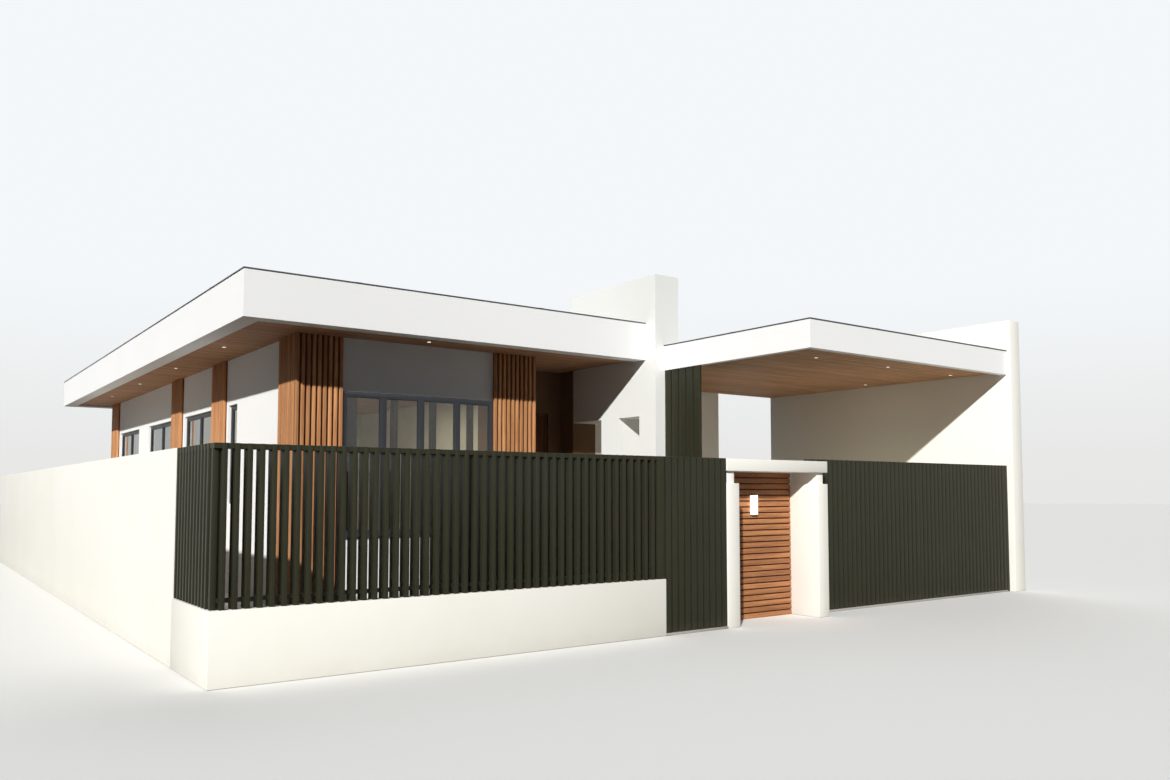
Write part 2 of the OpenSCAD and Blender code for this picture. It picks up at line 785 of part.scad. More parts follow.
module carport_plan(inset) polygon([
    carport_outline[0] + [inset, inset], carport_outline[1] + [0, inset],
    carport_outline[2], carport_outline[3], carport_outline[4],
    carport_outline[5] + [inset, 0]]);

module carport_roof() color(white) {
    translate([0, 0, carport_edge_h]) linear_extrude(carport_edge_d) difference() {
        carport_plan(0);
        carport_plan(carport_border);
    }
    translate([0, 0, carport_soffit_h + board_t])
        linear_extrude(carport_edge_d - carport_soffit_up - board_t - carport_deck_drop)
            carport_plan(carport_border);
}

module carport_ceiling() color(ceiling_timber)
    translate([0, 0, carport_soffit_h]) linear_extrude(board_t)
        carport_plan(carport_border);

// Dark drip trims on the tops of both roof edges
module roof_trims() color(frame_grey) {
    translate([0, 0, edge_top]) linear_extrude(trim_h) difference() {
        roof_plan(-trim_proud);
        roof_plan(edge_t);
    }
    translate([0, 0, carport_top]) linear_extrude(trim_h) difference() {
        carport_plan(-trim_proud);
        carport_plan(edge_t);
    }
}

module carport_screen() color(dark)
    translate([carport_x0 + screen_in + screen_slat_t, blade_y0 - screen_d, 0]) rotate([0, 0, 90])
        slat_row(screen_d, screen_slat_w, screen_slat_t, carport_edge_h, screen_pitch);

// Lights in the boarded ceilings

module ceiling_light(x, y, z) translate([x, y, z - light_drop])
    cylinder(r = light_r, h = light_drop);

// Columns and rows of the carport lights, from the middle column and the front row
carport_lights = [[-1, 0], [0, 0], [1, 0], [1, 1]];

module ceiling_lights() color("white") {
    ceiling_light(house_x + front_light_x, house_y - front_light_out, soffit_h);
    for (y = [house_y + side_light_y : side_light_step : house_y1])
        ceiling_light(house_x - side_light_out, y, soffit_h);
    for (at = carport_lights)
        ceiling_light((carport_x0 + tall_x0) / 2 + carport_light_right + at[0] * carport_light_step,
                      carport_y + carport_light_y + at[1] * carport_light_step, carport_soffit_h);
}

// The middle of the plot goes over the origin
module placed() translate([-plot_w / 2, -plot_d / 2, 0]) children();

placed() left_yard_wall();
placed() right_tall_wall();
placed() right_yard_wall();
placed() front_plinth();
placed() gate_sills();
placed() front_screen();
placed() side_screen();
placed() fence_posts();
placed() foot_gate();
placed() foot_gate_hinges();
placed() niche_walls();
placed() niche_slab();
placed() niche_boards();
placed() niche_light();
placed() drive_gate_left();
placed() drive_gate_right();
placed() drive_gate_posts();
placed() floor_slab();
placed() porch_steps();
placed() front_wall();
placed() porch_side_walls();
placed() porch_back_wall();
placed() room_walls();
placed() carport_back_wall();
placed() left_wall();
placed() rear_wall();
placed() right_wall();
placed() entrance_door();
placed() side_door();
placed() front_window_frame();
placed() front_window_glass();
placed() side_window_frames();
placed() side_window_glass();
placed() corner_cladding();
placed() porch_cladding();
placed() side_piers();
placed() blade_wall();
placed() roof_edge();
placed() roof_deck();
placed() roof_ceiling();
placed() roof_trims();
placed() carport_roof();
placed() carport_ceiling();
placed() carport_screen();
placed() ceiling_lights();
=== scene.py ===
# Looks of a single-storey house with a deep flat roof, a carport and slatted gates.
# Metres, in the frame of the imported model: X right along the street, Y back, Z up.
import bpy
import bmesh
import json
import math
import random
from mathutils import Matrix, Vector


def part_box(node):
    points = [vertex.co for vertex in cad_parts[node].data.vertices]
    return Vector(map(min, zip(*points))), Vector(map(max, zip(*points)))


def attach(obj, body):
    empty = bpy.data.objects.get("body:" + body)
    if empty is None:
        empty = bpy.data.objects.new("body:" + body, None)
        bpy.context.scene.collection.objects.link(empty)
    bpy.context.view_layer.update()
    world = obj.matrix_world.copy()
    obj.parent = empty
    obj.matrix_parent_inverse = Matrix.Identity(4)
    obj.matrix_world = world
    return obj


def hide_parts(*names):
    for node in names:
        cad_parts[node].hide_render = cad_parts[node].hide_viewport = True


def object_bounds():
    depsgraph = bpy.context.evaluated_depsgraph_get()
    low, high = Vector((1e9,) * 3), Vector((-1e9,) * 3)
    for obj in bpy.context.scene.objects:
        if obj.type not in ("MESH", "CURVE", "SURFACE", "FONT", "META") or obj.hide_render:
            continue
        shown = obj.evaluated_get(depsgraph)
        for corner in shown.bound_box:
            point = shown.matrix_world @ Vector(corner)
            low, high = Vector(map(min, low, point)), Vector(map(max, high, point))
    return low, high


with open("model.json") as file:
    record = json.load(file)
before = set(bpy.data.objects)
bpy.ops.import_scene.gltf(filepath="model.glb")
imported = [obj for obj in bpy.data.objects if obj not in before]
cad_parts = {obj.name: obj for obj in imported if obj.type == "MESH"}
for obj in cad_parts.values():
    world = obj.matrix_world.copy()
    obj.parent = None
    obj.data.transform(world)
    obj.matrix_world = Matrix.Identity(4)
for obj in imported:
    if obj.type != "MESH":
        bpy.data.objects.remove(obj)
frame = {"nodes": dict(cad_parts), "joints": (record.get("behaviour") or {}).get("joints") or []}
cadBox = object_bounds()
nodes = frame["nodes"]
random.seed(11)
print("frame loaded:", len(nodes), "nodes")


# Small helpers for node trees

def linear(value):
    v = value / 255
    return v / 12.92 if v <= 0.04045 else ((v + 0.055) / 1.055) ** 2.4


def paint(red, green, blue):  # a screen colour, 0 to 255, as a linear one
    return (linear(red), linear(green), linear(blue), 1.0)


def addNode(tree, kind, **settings):
    node = tree.nodes.new(kind if kind.startswith("NodeGroup") else "ShaderNode" + kind)
    for key, value in settings.items():
        setattr(node, key, value)
    return node


def feed(tree, socket, value):  # links a socket, or sets a plain value
    if isinstance(value, bpy.types.NodeSocket):
        tree.links.new(value, socket)
    else:
        socket.default_value = value


def feedAll(tree, node, values):
    for label, value in values.items():
        feed(tree, node.inputs[label], value)
    return node.outputs


def filled(tree, kind, values, **settings):  # adds a node with these inputs and gives its outputs
    return feedAll(tree, addNode(tree, kind, **settings), values)


def noiseOf(tree, vector, scale, detail=3.0, rough=0.5, twist=0.0):
    return filled(tree, "TexNoise", {
        "Vector": vector, "Scale": scale, "Detail": detail, "Roughness": rough,
        "Distortion": twist})[0]


def calc(tree, operation, a, b=0.0, clamp=False):
    return filled(tree, "Math", {0: a, 1: b}, operation=operation, use_clamp=clamp)[0]


def times(tree, a, b):
    return calc(tree, "MULTIPLY", a, b)


def plus(tree, a, b):
    return calc(tree, "ADD", a, b)


def ramp(tree, value, low, high):  # smoothly from 0 at low to 1 at high
    values = {0: value, 1: low, 2: high}
    return filled(tree, "MapRange", values, interpolation_type="SMOOTHSTEP")[0]


def mixOf(tree, factor, a, b):
    return filled(tree, "Mix", {0: factor, 6: a, 7: b}, data_type="RGBA", blend_type="MIX")[2]


def newGroup(name, colours, numbers, outputs=("Height",)):  # all have a Vector in, a Colour out
    group = bpy.data.node_groups.new(name, "ShaderNodeTree")
    sockets = [("Vector", "INPUT", "Vector"), ("Colour", "OUTPUT", "Color")]
    sockets += [(label, "INPUT", "Color") for label in colours]
    sockets += [(label, "INPUT", "Float") for label in numbers]
    sockets += [(label, "OUTPUT", "Float") for label in outputs]
    for label, way, kind in sockets:
        group.interface.new_socket(label, in_out=way, socket_type="NodeSocket" + kind)
    return group, addNode(group, "NodeGroupInput").outputs, addNode(group, "NodeGroupOutput")


# Shader groups that several finishes share

def makeRenderGroup():  # painted render: broad patches, trowel marks and fine sand
    tree, given, out = newGroup("paintedRender", ["Base", "Shade"], ["Patch"])
    patch = noiseOf(tree, given["Vector"], 0.55, 4.0, 0.55, 0.3)
    trowel = noiseOf(tree, given["Vector"], 7.0, 4.0, 0.6, 1.2)
    sand = noiseOf(tree, given["Vector"], 320.0, 2.0, 0.6)
    spread = times(tree, ramp(tree, patch, 0.38, 0.68), 0.6)
    spread = plus(tree, spread, times(tree, trowel, 0.4))
    spread = times(tree, spread, given["Patch"])
    feedAll(tree, out, {
        "Colour": mixOf(tree, spread, given["Base"], given["Shade"]),
        "Height": plus(tree, times(tree, trowel, 0.7), times(tree, sand, 0.3))})
    return tree


def makeFootGroup():  # dust and splash low on walls and posts
    tree, given, out = newGroup("groundSplash", ["Colour", "Dust"], ["Reach", "Amount"], [])
    split = filled(tree, "SeparateXYZ", {0: given["Vector"]})
    ragged = times(tree, noiseOf(tree, given["Vector"], 3.5, 5.0, 0.65), given["Reach"])
    mask = ramp(tree, plus(tree, split["Z"], times(tree, ragged, 0.8)), given["Reach"], 0.0)
    mask = calc(tree, "MULTIPLY", mask, given["Amount"], True)
    feed(tree, out.inputs["Colour"], mixOf(tree, mask, given["Colour"], given["Dust"]))
    return tree


def makeGrainGroup():  # timber grain, moved along for each board by its tone
    tree, given, out = newGroup("timberGrain", ["Light", "Dark"], ["Tone", "Spread"])
    steps = enumerate((37.0, 11.0, 23.0))
    shift = filled(tree, "CombineXYZ", {i: times(tree, given["Tone"], step) for i, step in steps})[0]
    place = filled(tree, "VectorMath", {0: given["Vector"], 1: shift}, operation="ADD")[0]
    broad = noiseOf(tree, place, 1.0, 5.0, 0.55, 0.8)
    fibre = noiseOf(tree, place, 7.0, 3.0, 0.7, 0.2)
    grain = plus(tree, times(tree, ramp(tree, broad, 0.35, 0.68), 0.65),
                 times(tree, ramp(tree, fibre, 0.3, 0.7), 0.35))
    lift = times(tree, calc(tree, "SUBTRACT", given["Tone"], 0.5), given["Spread"])
    tint = filled(tree, "HueSaturation", {
        "Value": plus(tree, 1.0, lift),
        "Color": mixOf(tree, grain, given["Light"], given["Dark"])})
    feedAll(tree, out, {"Colour": tint[0], "Height": calc(tree, "SUBTRACT", 1.0, grain)})
    return tree


def makeCoatGroup():  # powder coat: fine orange peel and faint chalking
    tree, given, out = newGroup("powderCoat", ["Base", "Chalk"], ["Amount"], ["Roughness", "Height"])
    cloud = noiseOf(tree, given["Vector"], 1.6, 4.0, 0.6, 0.4)
    chalk = times(tree, ramp(tree, cloud, 0.4, 0.75), given["Amount"])
    feedAll(tree, out, {
        "Colour": mixOf(tree, chalk, given["Base"], given["Chalk"]),
        "Roughness": plus(tree, 0.42, times(tree, cloud, 0.2)),
        "Height": noiseOf(tree, given["Vector"], 520.0, 2.0, 0.5)})
    return tree


renderGroup = makeRenderGroup()
footGroup = makeFootGroup()
grainGroup = makeGrainGroup()
coatGroup = makeCoatGroup()


def useGroup(tree, group, **values):
    return filled(tree, "Group", values, node_tree=group)


def newMaterial(name):
    material = bpy.data.materials.new(name)
    material.use_nodes = True
    tree = material.node_tree
    tree.nodes.clear()
    shader = addNode(tree, "BsdfPrincipled")
    feed(tree, addNode(tree, "OutputMaterial").inputs[0], shader.outputs[0])
    return material, tree, shader


def objectVector(tree, scale=(1, 1, 1)):
    coordinate = addNode(tree, "TexCoord").outputs["Object"]
    return filled(tree, "Mapping", {"Scale": scale, "Vector": coordinate})[0]


def bumpInto(tree, shader, height, distance, strength=1.0):
    bump = filled(tree, "Bump", {"Strength": strength, "Distance": distance, "Height": height})
    feed(tree, shader.inputs["Normal"], bump[0])


# Finishes

mattSheen = 0.2
wallDust, metalDust = paint(150, 138, 122), paint(120, 112, 100)


def renderFinish(name, base, shade, patch, dust, rough=0.85):
    material, tree, shader = newMaterial(name)
    vector = objectVector(tree)
    coat = useGroup(tree, renderGroup, Vector=vector, Base=paint(*base), Shade=paint(*shade),
                    Patch=patch)
    foot = useGroup(tree, footGroup, Vector=vector, Colour=coat["Colour"], Dust=wallDust,
                    Amount=dust, Reach=0.35)
    feedAll(tree, shader, {
        "Base Color": foot["Colour"], "Roughness": rough, "Specular IOR Level": mattSheen})
    bumpInto(tree, shader, coat["Height"], 0.0012, 0.6)
    return material


def timberFinish(name, light, dark, scale, spread):
    material, tree, shader = newMaterial(name)
    tone = addNode(tree, "Attribute", attribute_name="tone")
    grain = useGroup(tree, grainGroup, Vector=objectVector(tree, scale), Tone=tone.outputs["Fac"],
                     Light=paint(*light), Dark=paint(*dark), Spread=spread)
    feedAll(tree, shader, {
        "Base Color": grain["Colour"], "Roughness": 0.6, "Specular IOR Level": mattSheen})
    bumpInto(tree, shader, grain["Height"], 0.0008, 0.7)
    return material


def coatFinish(name, base, chalk, amount=0.3, metallic=0.0, sheen=0.5):
    material, tree, shader = newMaterial(name)
    vector = objectVector(tree)
    coat = useGroup(tree, coatGroup, Vector=vector, Base=paint(*base), Chalk=paint(*chalk),
                    Amount=amount)
    foot = useGroup(tree, footGroup, Vector=vector, Colour=coat["Colour"], Dust=metalDust,
                    Amount=0.2, Reach=0.25)
    feedAll(tree, shader, {
        "Base Color": foot["Colour"], "Roughness": coat["Roughness"], "Metallic": metallic,
        "Specular IOR Level": sheen})
    bumpInto(tree, shader, coat["Height"], 0.0002, 0.5)
    return material


def glassFinish(name, tint, film):  # clear panes with a faint film and float-glass wave
    material, tree, shader = newMaterial(name)
    vector = objectVector(tree)
    haze = ramp(tree, noiseOf(tree, vector, 2.2, 4.0, 0.6), 0.35, 0.75)
    feedAll(tree, shader, {
        "Base Color": mixOf(tree, haze, paint(*tint), paint(*film)),
        "Roughness": times(tree, haze, 0.03), "IOR": 1.5, "Transmission Weight": 1.0})
    bumpInto(tree, shader, noiseOf(tree, vector, 1.3, 1.0), 0.002, 0.2)
    return material


def lampFinish(name, colour, strength):
    material, tree, shader = newMaterial(name)
    frost = noiseOf(tree, objectVector(tree), 60.0, 3.0)
    glow = mixOf(tree, times(tree, frost, 0.25), colour, paint(255, 244, 224))
    feedAll(tree, shader, {
        "Base Color": glow, "Emission Color": glow, "Emission Strength": strength,
        "Roughness": 0.35})
    return material


uprightGrain, levelGrain = (30, 30, 1.3), (1.3, 30, 30)
whiteRender = renderFinish("whiteRender", (246, 246, 245), (236, 236, 233), 0.45, 0.08)
bladeRender = renderFinish("bladeRender", (240, 241, 238), (231, 232, 228), 0.45, 0.08)
edgeRender = renderFinish("edgeRender", (252, 252, 252), (245, 245, 243), 0.45, 0.06)
creamRender = renderFinish("creamRender", (246, 244, 237), (237, 233, 222), 0.5, 0.12)
brownRender = renderFinish("brownRender", (126, 98, 74), (104, 78, 58), 0.6, 0.10)
roomPaint = renderFinish("roomPaint", (226, 220, 202), (214, 206, 186), 0.4, 0.0)
concrete = renderFinish("concrete", (186, 183, 176), (158, 155, 148), 0.8, 0.25, 0.75)
battenTimber = timberFinish("battenTimber", (206, 153, 105), (164, 108, 69), uprightGrain, 0.35)
# dark stain, darkened further as painted shade in the gaps between battens and between boards
backingTimber = timberFinish("backingTimber", (118, 62, 38), (80, 38, 24), uprightGrain, 0.2)
nicheTimber = timberFinish("nicheTimber", (196, 137, 92), (150, 97, 62), levelGrain, 0.35)
ceilingTimber = timberFinish("ceilingTimber", (200, 154, 118), (158, 116, 86), levelGrain, 0.25)
doorTimber = timberFinish("doorTimber", (120, 80, 54), (84, 52, 34), uprightGrain, 0.25)
darkMetal = coatFinish("darkMetal", (42, 42, 29), (54, 54, 40), sheen=0.2)
frameMetal = coatFinish("frameMetal", (44, 47, 52), (66, 70, 74))
trimMetal = coatFinish("trimMetal", (66, 68, 70), (92, 94, 94))
roofSheet = coatFinish("roofSheet", (168, 170, 170), (190, 190, 186), 0.6)
steel = coatFinish("steel", (178, 178, 176), (200, 200, 196), 0.4, 0.9)
whiteMetal = coatFinish("whiteMetal", (232, 232, 228), (215, 214, 208))
windowGlass = glassFinish("windowGlass", (226, 232, 228), (214, 220, 216))
rubber = coatFinish("rubber", (34, 35, 37), (48, 49, 50))
# painted shadow: dark timber for the bars behind the front window that stand in for the mullions' shadows
innerTimber = timberFinish("innerTimber", (78, 60, 48), (52, 38, 30), uprightGrain, 0.2)
lampGlow = lampFinish("lampGlow", (1.0, 0.97, 0.9, 1), 2.2)
nicheGlow = lampFinish("nicheGlow", (1.0, 0.99, 0.96, 1), 3.0)
print("finishes made:", len(bpy.data.materials))

nodeFinish = {  # of the nodes that show as they are
    whiteRender: "front_wall left_wall rear_wall right_wall carport_back_wall",
    bladeRender: "blade_wall",
    edgeRender: "roof_edge carport_roof",
    brownRender: "porch_side_walls porch_back_wall",
    roomPaint: "room_walls",
    concrete: "floor_slab",
    windowGlass: "front_window_glass side_window_glass",
    roofSheet: "roof_deck",
}
for material, names in nodeFinish.items():
    for name in names.split():
        nodes[name].data.materials.clear()
        nodes[name].data.materials.append(material)


# Small helpers for meshes

sharpAngles = (0.5, 2.7)  # radians, between the faces at an edge that is softened


def newShape():  # an empty bmesh whose faces carry a tone from 0 to 1
    bm = bmesh.new()
    bm.faces.layers.float.new("tone")
    return bm


def newShapes(count):
    return [newShape() for _ in range(count)]


def mergedMesh(name):  # a merged copy of a CAD node's mesh
    bm = newShape()
    bm.from_mesh(nodes[name].data)
    bmesh.ops.remove_doubles(bm, verts=bm.verts, dist=0.00002)
    bmesh.ops.dissolve_limit(bm, angle_limit=0.01, verts=bm.verts, edges=bm.edges)
    return bm


def boxOf(verts):
    low = Vector([min(vert.co[i] for vert in verts) for i in range(3)])
    high = Vector([max(vert.co[i] for vert in verts) for i in range(3)])
    return low, high


def boxesOf(bm):  # the box of each separate solid, in order of its lowest corner
    left, boxes = dict.fromkeys(bm.verts), []
    while left:
        reach, solid = [next(iter(left))], []
        del left[reach[0]]
        while reach:
            vert = reach.pop()
            solid.append(vert)
            for edge in vert.link_edges:
                other = edge.other_vert(vert)
                if other in left:
                    del left[other]
                    reach.append(other)
        boxes.append(boxOf(solid))
    return sorted(boxes, key=lambda box: [round(v, 4) for v in box[0]])


def solidBoxes(name):
    bm = mergedMesh(name)
    boxes = boxesOf(bm)
    bm.free()
    return boxes


def nodeBox(name):
    low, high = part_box(name)
    return Vector(low), Vector(high)


def spansOn(name, across, level, along):  # spans of a node's faces in one plane, as slat fronts
    values = sorted({round(vert.co[along], 4) for vert in nodes[name].data.vertices
                     if abs(vert.co[across] - level) < 0.0005})
    return list(zip(values[::2], values[1::2]))


def moved(corner, changes):  # a copy of a corner with some of its axes set anew
    made = Vector(corner)
    for axis, value in changes.items():
        made[axis] = value
    return made


def edgesOf(verts):
    return list(dict.fromkeys(edge for vert in verts for edge in vert.link_edges))


def sharpEdges(verts):
    least, most = sharpAngles
    return [edge for edge in edgesOf(verts)
            if edge.is_manifold and least < edge.calc_face_angle(0) < most]


def bevelEdges(bm, edges, width, segments=2):
    return bmesh.ops.bevel(bm, geom=edges, offset=width, segments=segments, profile=0.5,
                           affect="EDGES", material=-1, clamp_overlap=True)["verts"]


def barInto(bm, low, high, bevel=0.0, segments=1, tone=0.5, place=None):
    made = bmesh.ops.create_cube(bm, size=1.0)["verts"]
    size = [max(b - a, 0.0002) for a, b in zip(low, high)]
    middle = [(a + b) / 2 for a, b in zip(low, high)]
    fill = Matrix.Translation(middle) @ Matrix.Diagonal((*size, 1.0))
    bmesh.ops.transform(bm, matrix=(place or Matrix()) @ fill, verts=made)
    if bevel:
        made = bevelEdges(bm, edgesOf(made), bevel, segments)
    layer = bm.faces.layers.float["tone"]
    for face in {face for vert in made for face in vert.link_faces}:
        face[layer] = tone
    return made


def ringInto(bm, low, high, width, bevel=0.0, place=None):  # a frame round an opening, thin along Y
    corners = bmesh.ops.create_grid(bm, x_segments=1, y_segments=1, size=0.5)["verts"]
    flat = Matrix(((high[0] - low[0], 0, 0, (low[0] + high[0]) / 2), (0, 0, 1, low[1]),
                   (0, high[2] - low[2], 0, (low[2] + high[2]) / 2), (0, 0, 0, 1)))
    bmesh.ops.transform(bm, matrix=flat, verts=corners)
    inner = corners[0].link_faces[0]
    ring = bmesh.ops.inset_region(bm, faces=[inner], thickness=width, use_even_offset=True,
                                  use_boundary=True)["faces"]
    bmesh.ops.delete(bm, geom=[inner], context="FACES_ONLY")
    raised = bmesh.ops.extrude_face_region(bm, geom=ring)["geom"]
    lifted = [item for item in raised if isinstance(item, bmesh.types.BMVert)]
    bmesh.ops.translate(bm, vec=(0, high[1] - low[1], 0), verts=lifted)
    shell = list(dict.fromkeys([vert for face in ring for vert in face.verts] + lifted))
    if place:
        bmesh.ops.transform(bm, matrix=place, verts=shell)
    faces = list({face for vert in shell for face in vert.link_faces})
    bmesh.ops.recalc_face_normals(bm, faces=faces)
    if bevel:
        bevelEdges(bm, sharpEdges(shell), bevel, 1)


def spunInto(bm, profile, place, steps=24):  # a turned shape from radius and height pairs
    part = newShape()
    verts = [part.verts.new((radius, 0.0, height)) for radius, height in profile]
    edges = [part.edges.new(pair) for pair in zip(verts, verts[1:])]
    bmesh.ops.spin(part, geom=verts + edges, cent=(0, 0, 0), axis=(0, 0, 1), angle=math.tau,
                   steps=steps, use_merge=True)
    bmesh.ops.remove_doubles(part, verts=part.verts, dist=0.00001)
    bmesh.ops.recalc_face_normals(part, faces=part.faces)
    bmesh.ops.transform(part, matrix=place, verts=part.verts)
    scratch = bpy.data.meshes.new("scratch")
    part.to_mesh(scratch)
    part.free()
    bm.from_mesh(scratch)
    bpy.data.meshes.remove(scratch)


def at(x, y, z, towards="Z"):  # a place whose own Z axis points towards an axis, such as -Y
    axis, quarters = {"Z": ("X", 0), "X": ("Y", 1), "Y": ("X", -1), "-Y": ("X", 1)}[towards]
    return Matrix.Translation((x, y, z)) @ Matrix.Rotation(quarters * math.pi / 2, 4, axis)


def wallPlace(low, high):  # X along a wall from its left end seen from outside, Y into it
    if high.x - low.x > high.y - low.y:
        x, y, turn = (low.x, low.y, 0) if low.y < 0 else (high.x, high.y, math.pi)
    else:
        x, y, turn = (low.x, high.y, -math.pi / 2) if low.x < 0 else (high.x, low.y, math.pi / 2)
    return Matrix.Translation((x, y, 0)) @ Matrix.Rotation(turn, 4, "Z")


def newObject(name, data):
    made = bpy.data.objects.new(name, data)
    bpy.context.scene.collection.objects.link(made)
    return made


def finishPiece(bm, name, material, body="house", stands="", angle=35, outward=True):
    if outward:
        bmesh.ops.recalc_face_normals(bm, faces=bm.faces)
    mesh = bpy.data.meshes.new(name)
    bm.to_mesh(mesh)
    bm.free()
    mesh.materials.append(material)
    mesh.shade_smooth()
    mesh.set_sharp_from_angle(angle=math.radians(angle))
    piece = newObject(name, mesh)
    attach(piece, body)
    if stands:
        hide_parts(stands)


# Walls, slabs and edges with softened corners

softened = {  # material, slot and width: the pieces and their nodes
    (creamRender, "cream_render", 0.006): {
        "plinth": "front_plinth", "leftYardWall": "left_yard_wall",
        "rightYardWall": "right_yard_wall", "tallWall": "right_tall_wall"},
    (creamRender, "cream_render", 0.005): {"nicheWalls": "niche_walls", "nicheSlab": "niche_slab"},
    (concrete, "concrete", 0.003): {"gateSills": "gate_sills"},
    (trimMetal, "frame_metal", 0.003): {"roofTrims": "roof_trims"},
    (concrete, "concrete", 0.006): {"porchSteps": "porch_steps"},
}
for (material, slotName, width), pieces in softened.items():
    for name, node in pieces.items():
        bm = mergedMesh(node)
        bevelEdges(bm, sharpEdges(bm.verts), width)
        finishPiece(bm, name, material, stands=node, outward=False)
print("walls and steps softened")

# Timber battens on backing boards, dark from their stain and from painted shade in the gaps

battens = {
    "width": 0.047, "pitch": 0.081, "backing": 0.018, "round": 0.004,
    "foot": 0.012,  # gap under a batten
}


def battenRun(slats, backs, low, high, run):  # run is 0 along X and 1 along Y
    deep, width = 1 - run, battens["width"]
    face = high[deep] - battens["backing"]
    length = high[run] - low[run] - width
    count = round(length / battens["pitch"]) + 1
    for i in range(count):
        start = low[run] + i * length / (count - 1)
        barInto(slats, moved(low, {run: start, 2: low.z + battens["foot"]}),
                moved(high, {run: start + width, deep: face}), battens["round"], 2, random.random())
    barInto(backs, moved(low, {deep: face}), high, 0.001)


def claddingPiece(name, node, runs):
    slats, backs = newShapes(2)
    for low, high, run in runs:
        battenRun(slats, backs, low, high, run)
    finishPiece(slats, name + "Battens", battenTimber, stands=node)
    finishPiece(backs, name + "Backing", backingTimber)


low, high = nodeBox("porch_cladding")
proud = high.y - low.y
claddingPiece("porchBlock", "porch_cladding", [(low, high, 0)])
low, high = nodeBox("corner_cladding")
claddingPiece("cornerBlock", "corner_cladding", [
    (low, moved(high, {1: low.y + proud}), 0),
    (moved(low, {1: low.y + battens["pitch"]}), moved(high, {0: low.x + proud}), 1)])
claddingPiece("sidePiers", "side_piers", [(low, high, 1) for low, high in solidBoxes("side_piers")])
print("timber battens made")

# Boarded ceilings with V grooves between the boards

ceilingBoards = {
    "pitch": 0.118, "groove": 0.009, "depth": 0.005,
    "leastEnd": 0.01,  # of the last board
}


def boardedCeiling(name, node):
    bm = mergedMesh(node)
    low, high = boxOf(bm.verts)
    pitch, half = ceilingBoards["pitch"], ceilingBoards["groove"] / 2
    deep = high.y - low.y
    middles = [low.y + i * pitch for i in range(1, int(deep / pitch) + 1)
               if deep - i * pitch > ceilingBoards["leastEnd"]]
    for middle in middles:
        for step in (-half, 0, half):
            bmesh.ops.bisect_plane(bm, geom=bm.verts[:] + bm.edges[:] + bm.faces[:], dist=0.00001,
                                   plane_co=(0, middle + step, 0), plane_no=(0, 1, 0))
    under = {vert for face in bm.faces if face.normal.z < -0.9 for vert in face.verts}
    lines = {round(middle, 4) for middle in middles}
    for vert in under:
        if round(vert.co.y, 4) in lines:
            vert.co.z += ceilingBoards["depth"]
    tones = [random.random() for _ in range(len(middles) + 2)]
    layer = bm.faces.layers.float["tone"]
    for face in bm.faces:
        face[layer] = tones[int((face.calc_center_median().y - low.y) / pitch)]
    finishPiece(bm, name, ceilingTimber, stands=node, angle=20, outward=False)


boardedCeiling("mainCeiling", "roof_ceiling")
boardedCeiling("carportCeiling", "carport_ceiling")
print("boarded ceilings made")

# Window frames, sashes, beads and sills

windows = {
    "sash": 0.022, "sashDepth": 0.046, "bead": 0.010, "beadDepth": 0.009, "lap": 0.001,
    "soften": 0.0025, "sillProud": 0.030, "sillHeight": 0.022,
    "sillEnd": 0.020,  # past each side of the frame
    "sillLift": 0.004, "sillFall": 0.008,
    "uprights": [(3.149, 3.309), (3.859, 3.969), (4.512, 4.622), (5.175, 5.285)],  # painted shadow: dark bars for the shadows of the left jamb and the mullions in the room, from plot's left
    "uprightPlane": 0.150,  # behind the front of the frame
    "uprightDepth": 0.045,
}


def windowPieces(name, frameNode, glassNode):
    frames, beads, sills = newShapes(3)
    panes = solidBoxes(glassNode)
    bars = mergedMesh(frameNode)
    lap = windows["lap"]
    for low, high in boxesOf(bars):
        place = wallPlace(low, high)
        inverse = place.inverted()
        depth, width = sorted((high.x - low.x, high.y - low.y))
        for pane in panes:
            middle = (pane[0] + pane[1]) / 2
            if not all(low[i] - 0.001 < middle[i] < high[i] + 0.001 for i in range(3)):
                continue
            left, right = sorted((inverse @ corner).x for corner in pane)
            front, back = sorted((inverse @ corner).y for corner in pane)
            foot, top = pane[0].z, pane[1].z
            centre, half = (front + back) / 2, windows["sashDepth"] / 2
            ringInto(frames, (left, centre - half, foot), (right, centre + half, top),
                     windows["sash"], 0.002, place)
            inner, proud = windows["sash"] - lap, windows["beadDepth"]
            for start, end in ((front - proud, front + lap), (back - lap, back + proud)):
                ringInto(beads, (left + inner, start, foot + inner), (right - inner, end, top - inner),
                         windows["bead"], 0.0015, place)
        top, side = low.z + windows["sillLift"], windows["sillEnd"]
        sill = barInto(sills, (-side, -windows["sillProud"], top - windows["sillHeight"]),
                       (width + side, depth * 0.4, top), place=place)
        for vert in sill:  # the top slopes down to the front
            if (inverse @ vert.co).y < 0 and vert.co.z > low.z:
                vert.co.z -= windows["sillFall"]
        bevelEdges(sills, sharpEdges(sill), 0.002, 1)
    bevelEdges(bars, sharpEdges(bars.verts), windows["soften"], 2)
    finishPiece(bars, name + "Frames", frameMetal, stands=frameNode, outward=False)
    finishPiece(frames, name + "Sashes", frameMetal)
    finishPiece(beads, name + "Beads", rubber)
    finishPiece(sills, name + "Sills", frameMetal)


windowPieces("frontWindow", "front_window_frame", "front_window_glass")
windowPieces("sideWindow", "side_window_frames", "side_window_glass")
# Painted shadow: dark bars behind the glass where the left jamb and the mullions cast their shadows into
# the room
low, high = nodeBox("front_window_frame")
back, plotLeft = low.y + windows["uprightPlane"], cadBox[0][0]
bm = newShape()
for start, end in windows["uprights"]:
    barInto(bm, (plotLeft + start, back - windows["uprightDepth"], low.z),
            (plotLeft + end, back, high.z), 0.003, 2)
finishPiece(bm, "innerUprights", innerTimber)
print("windows made")

# Doors

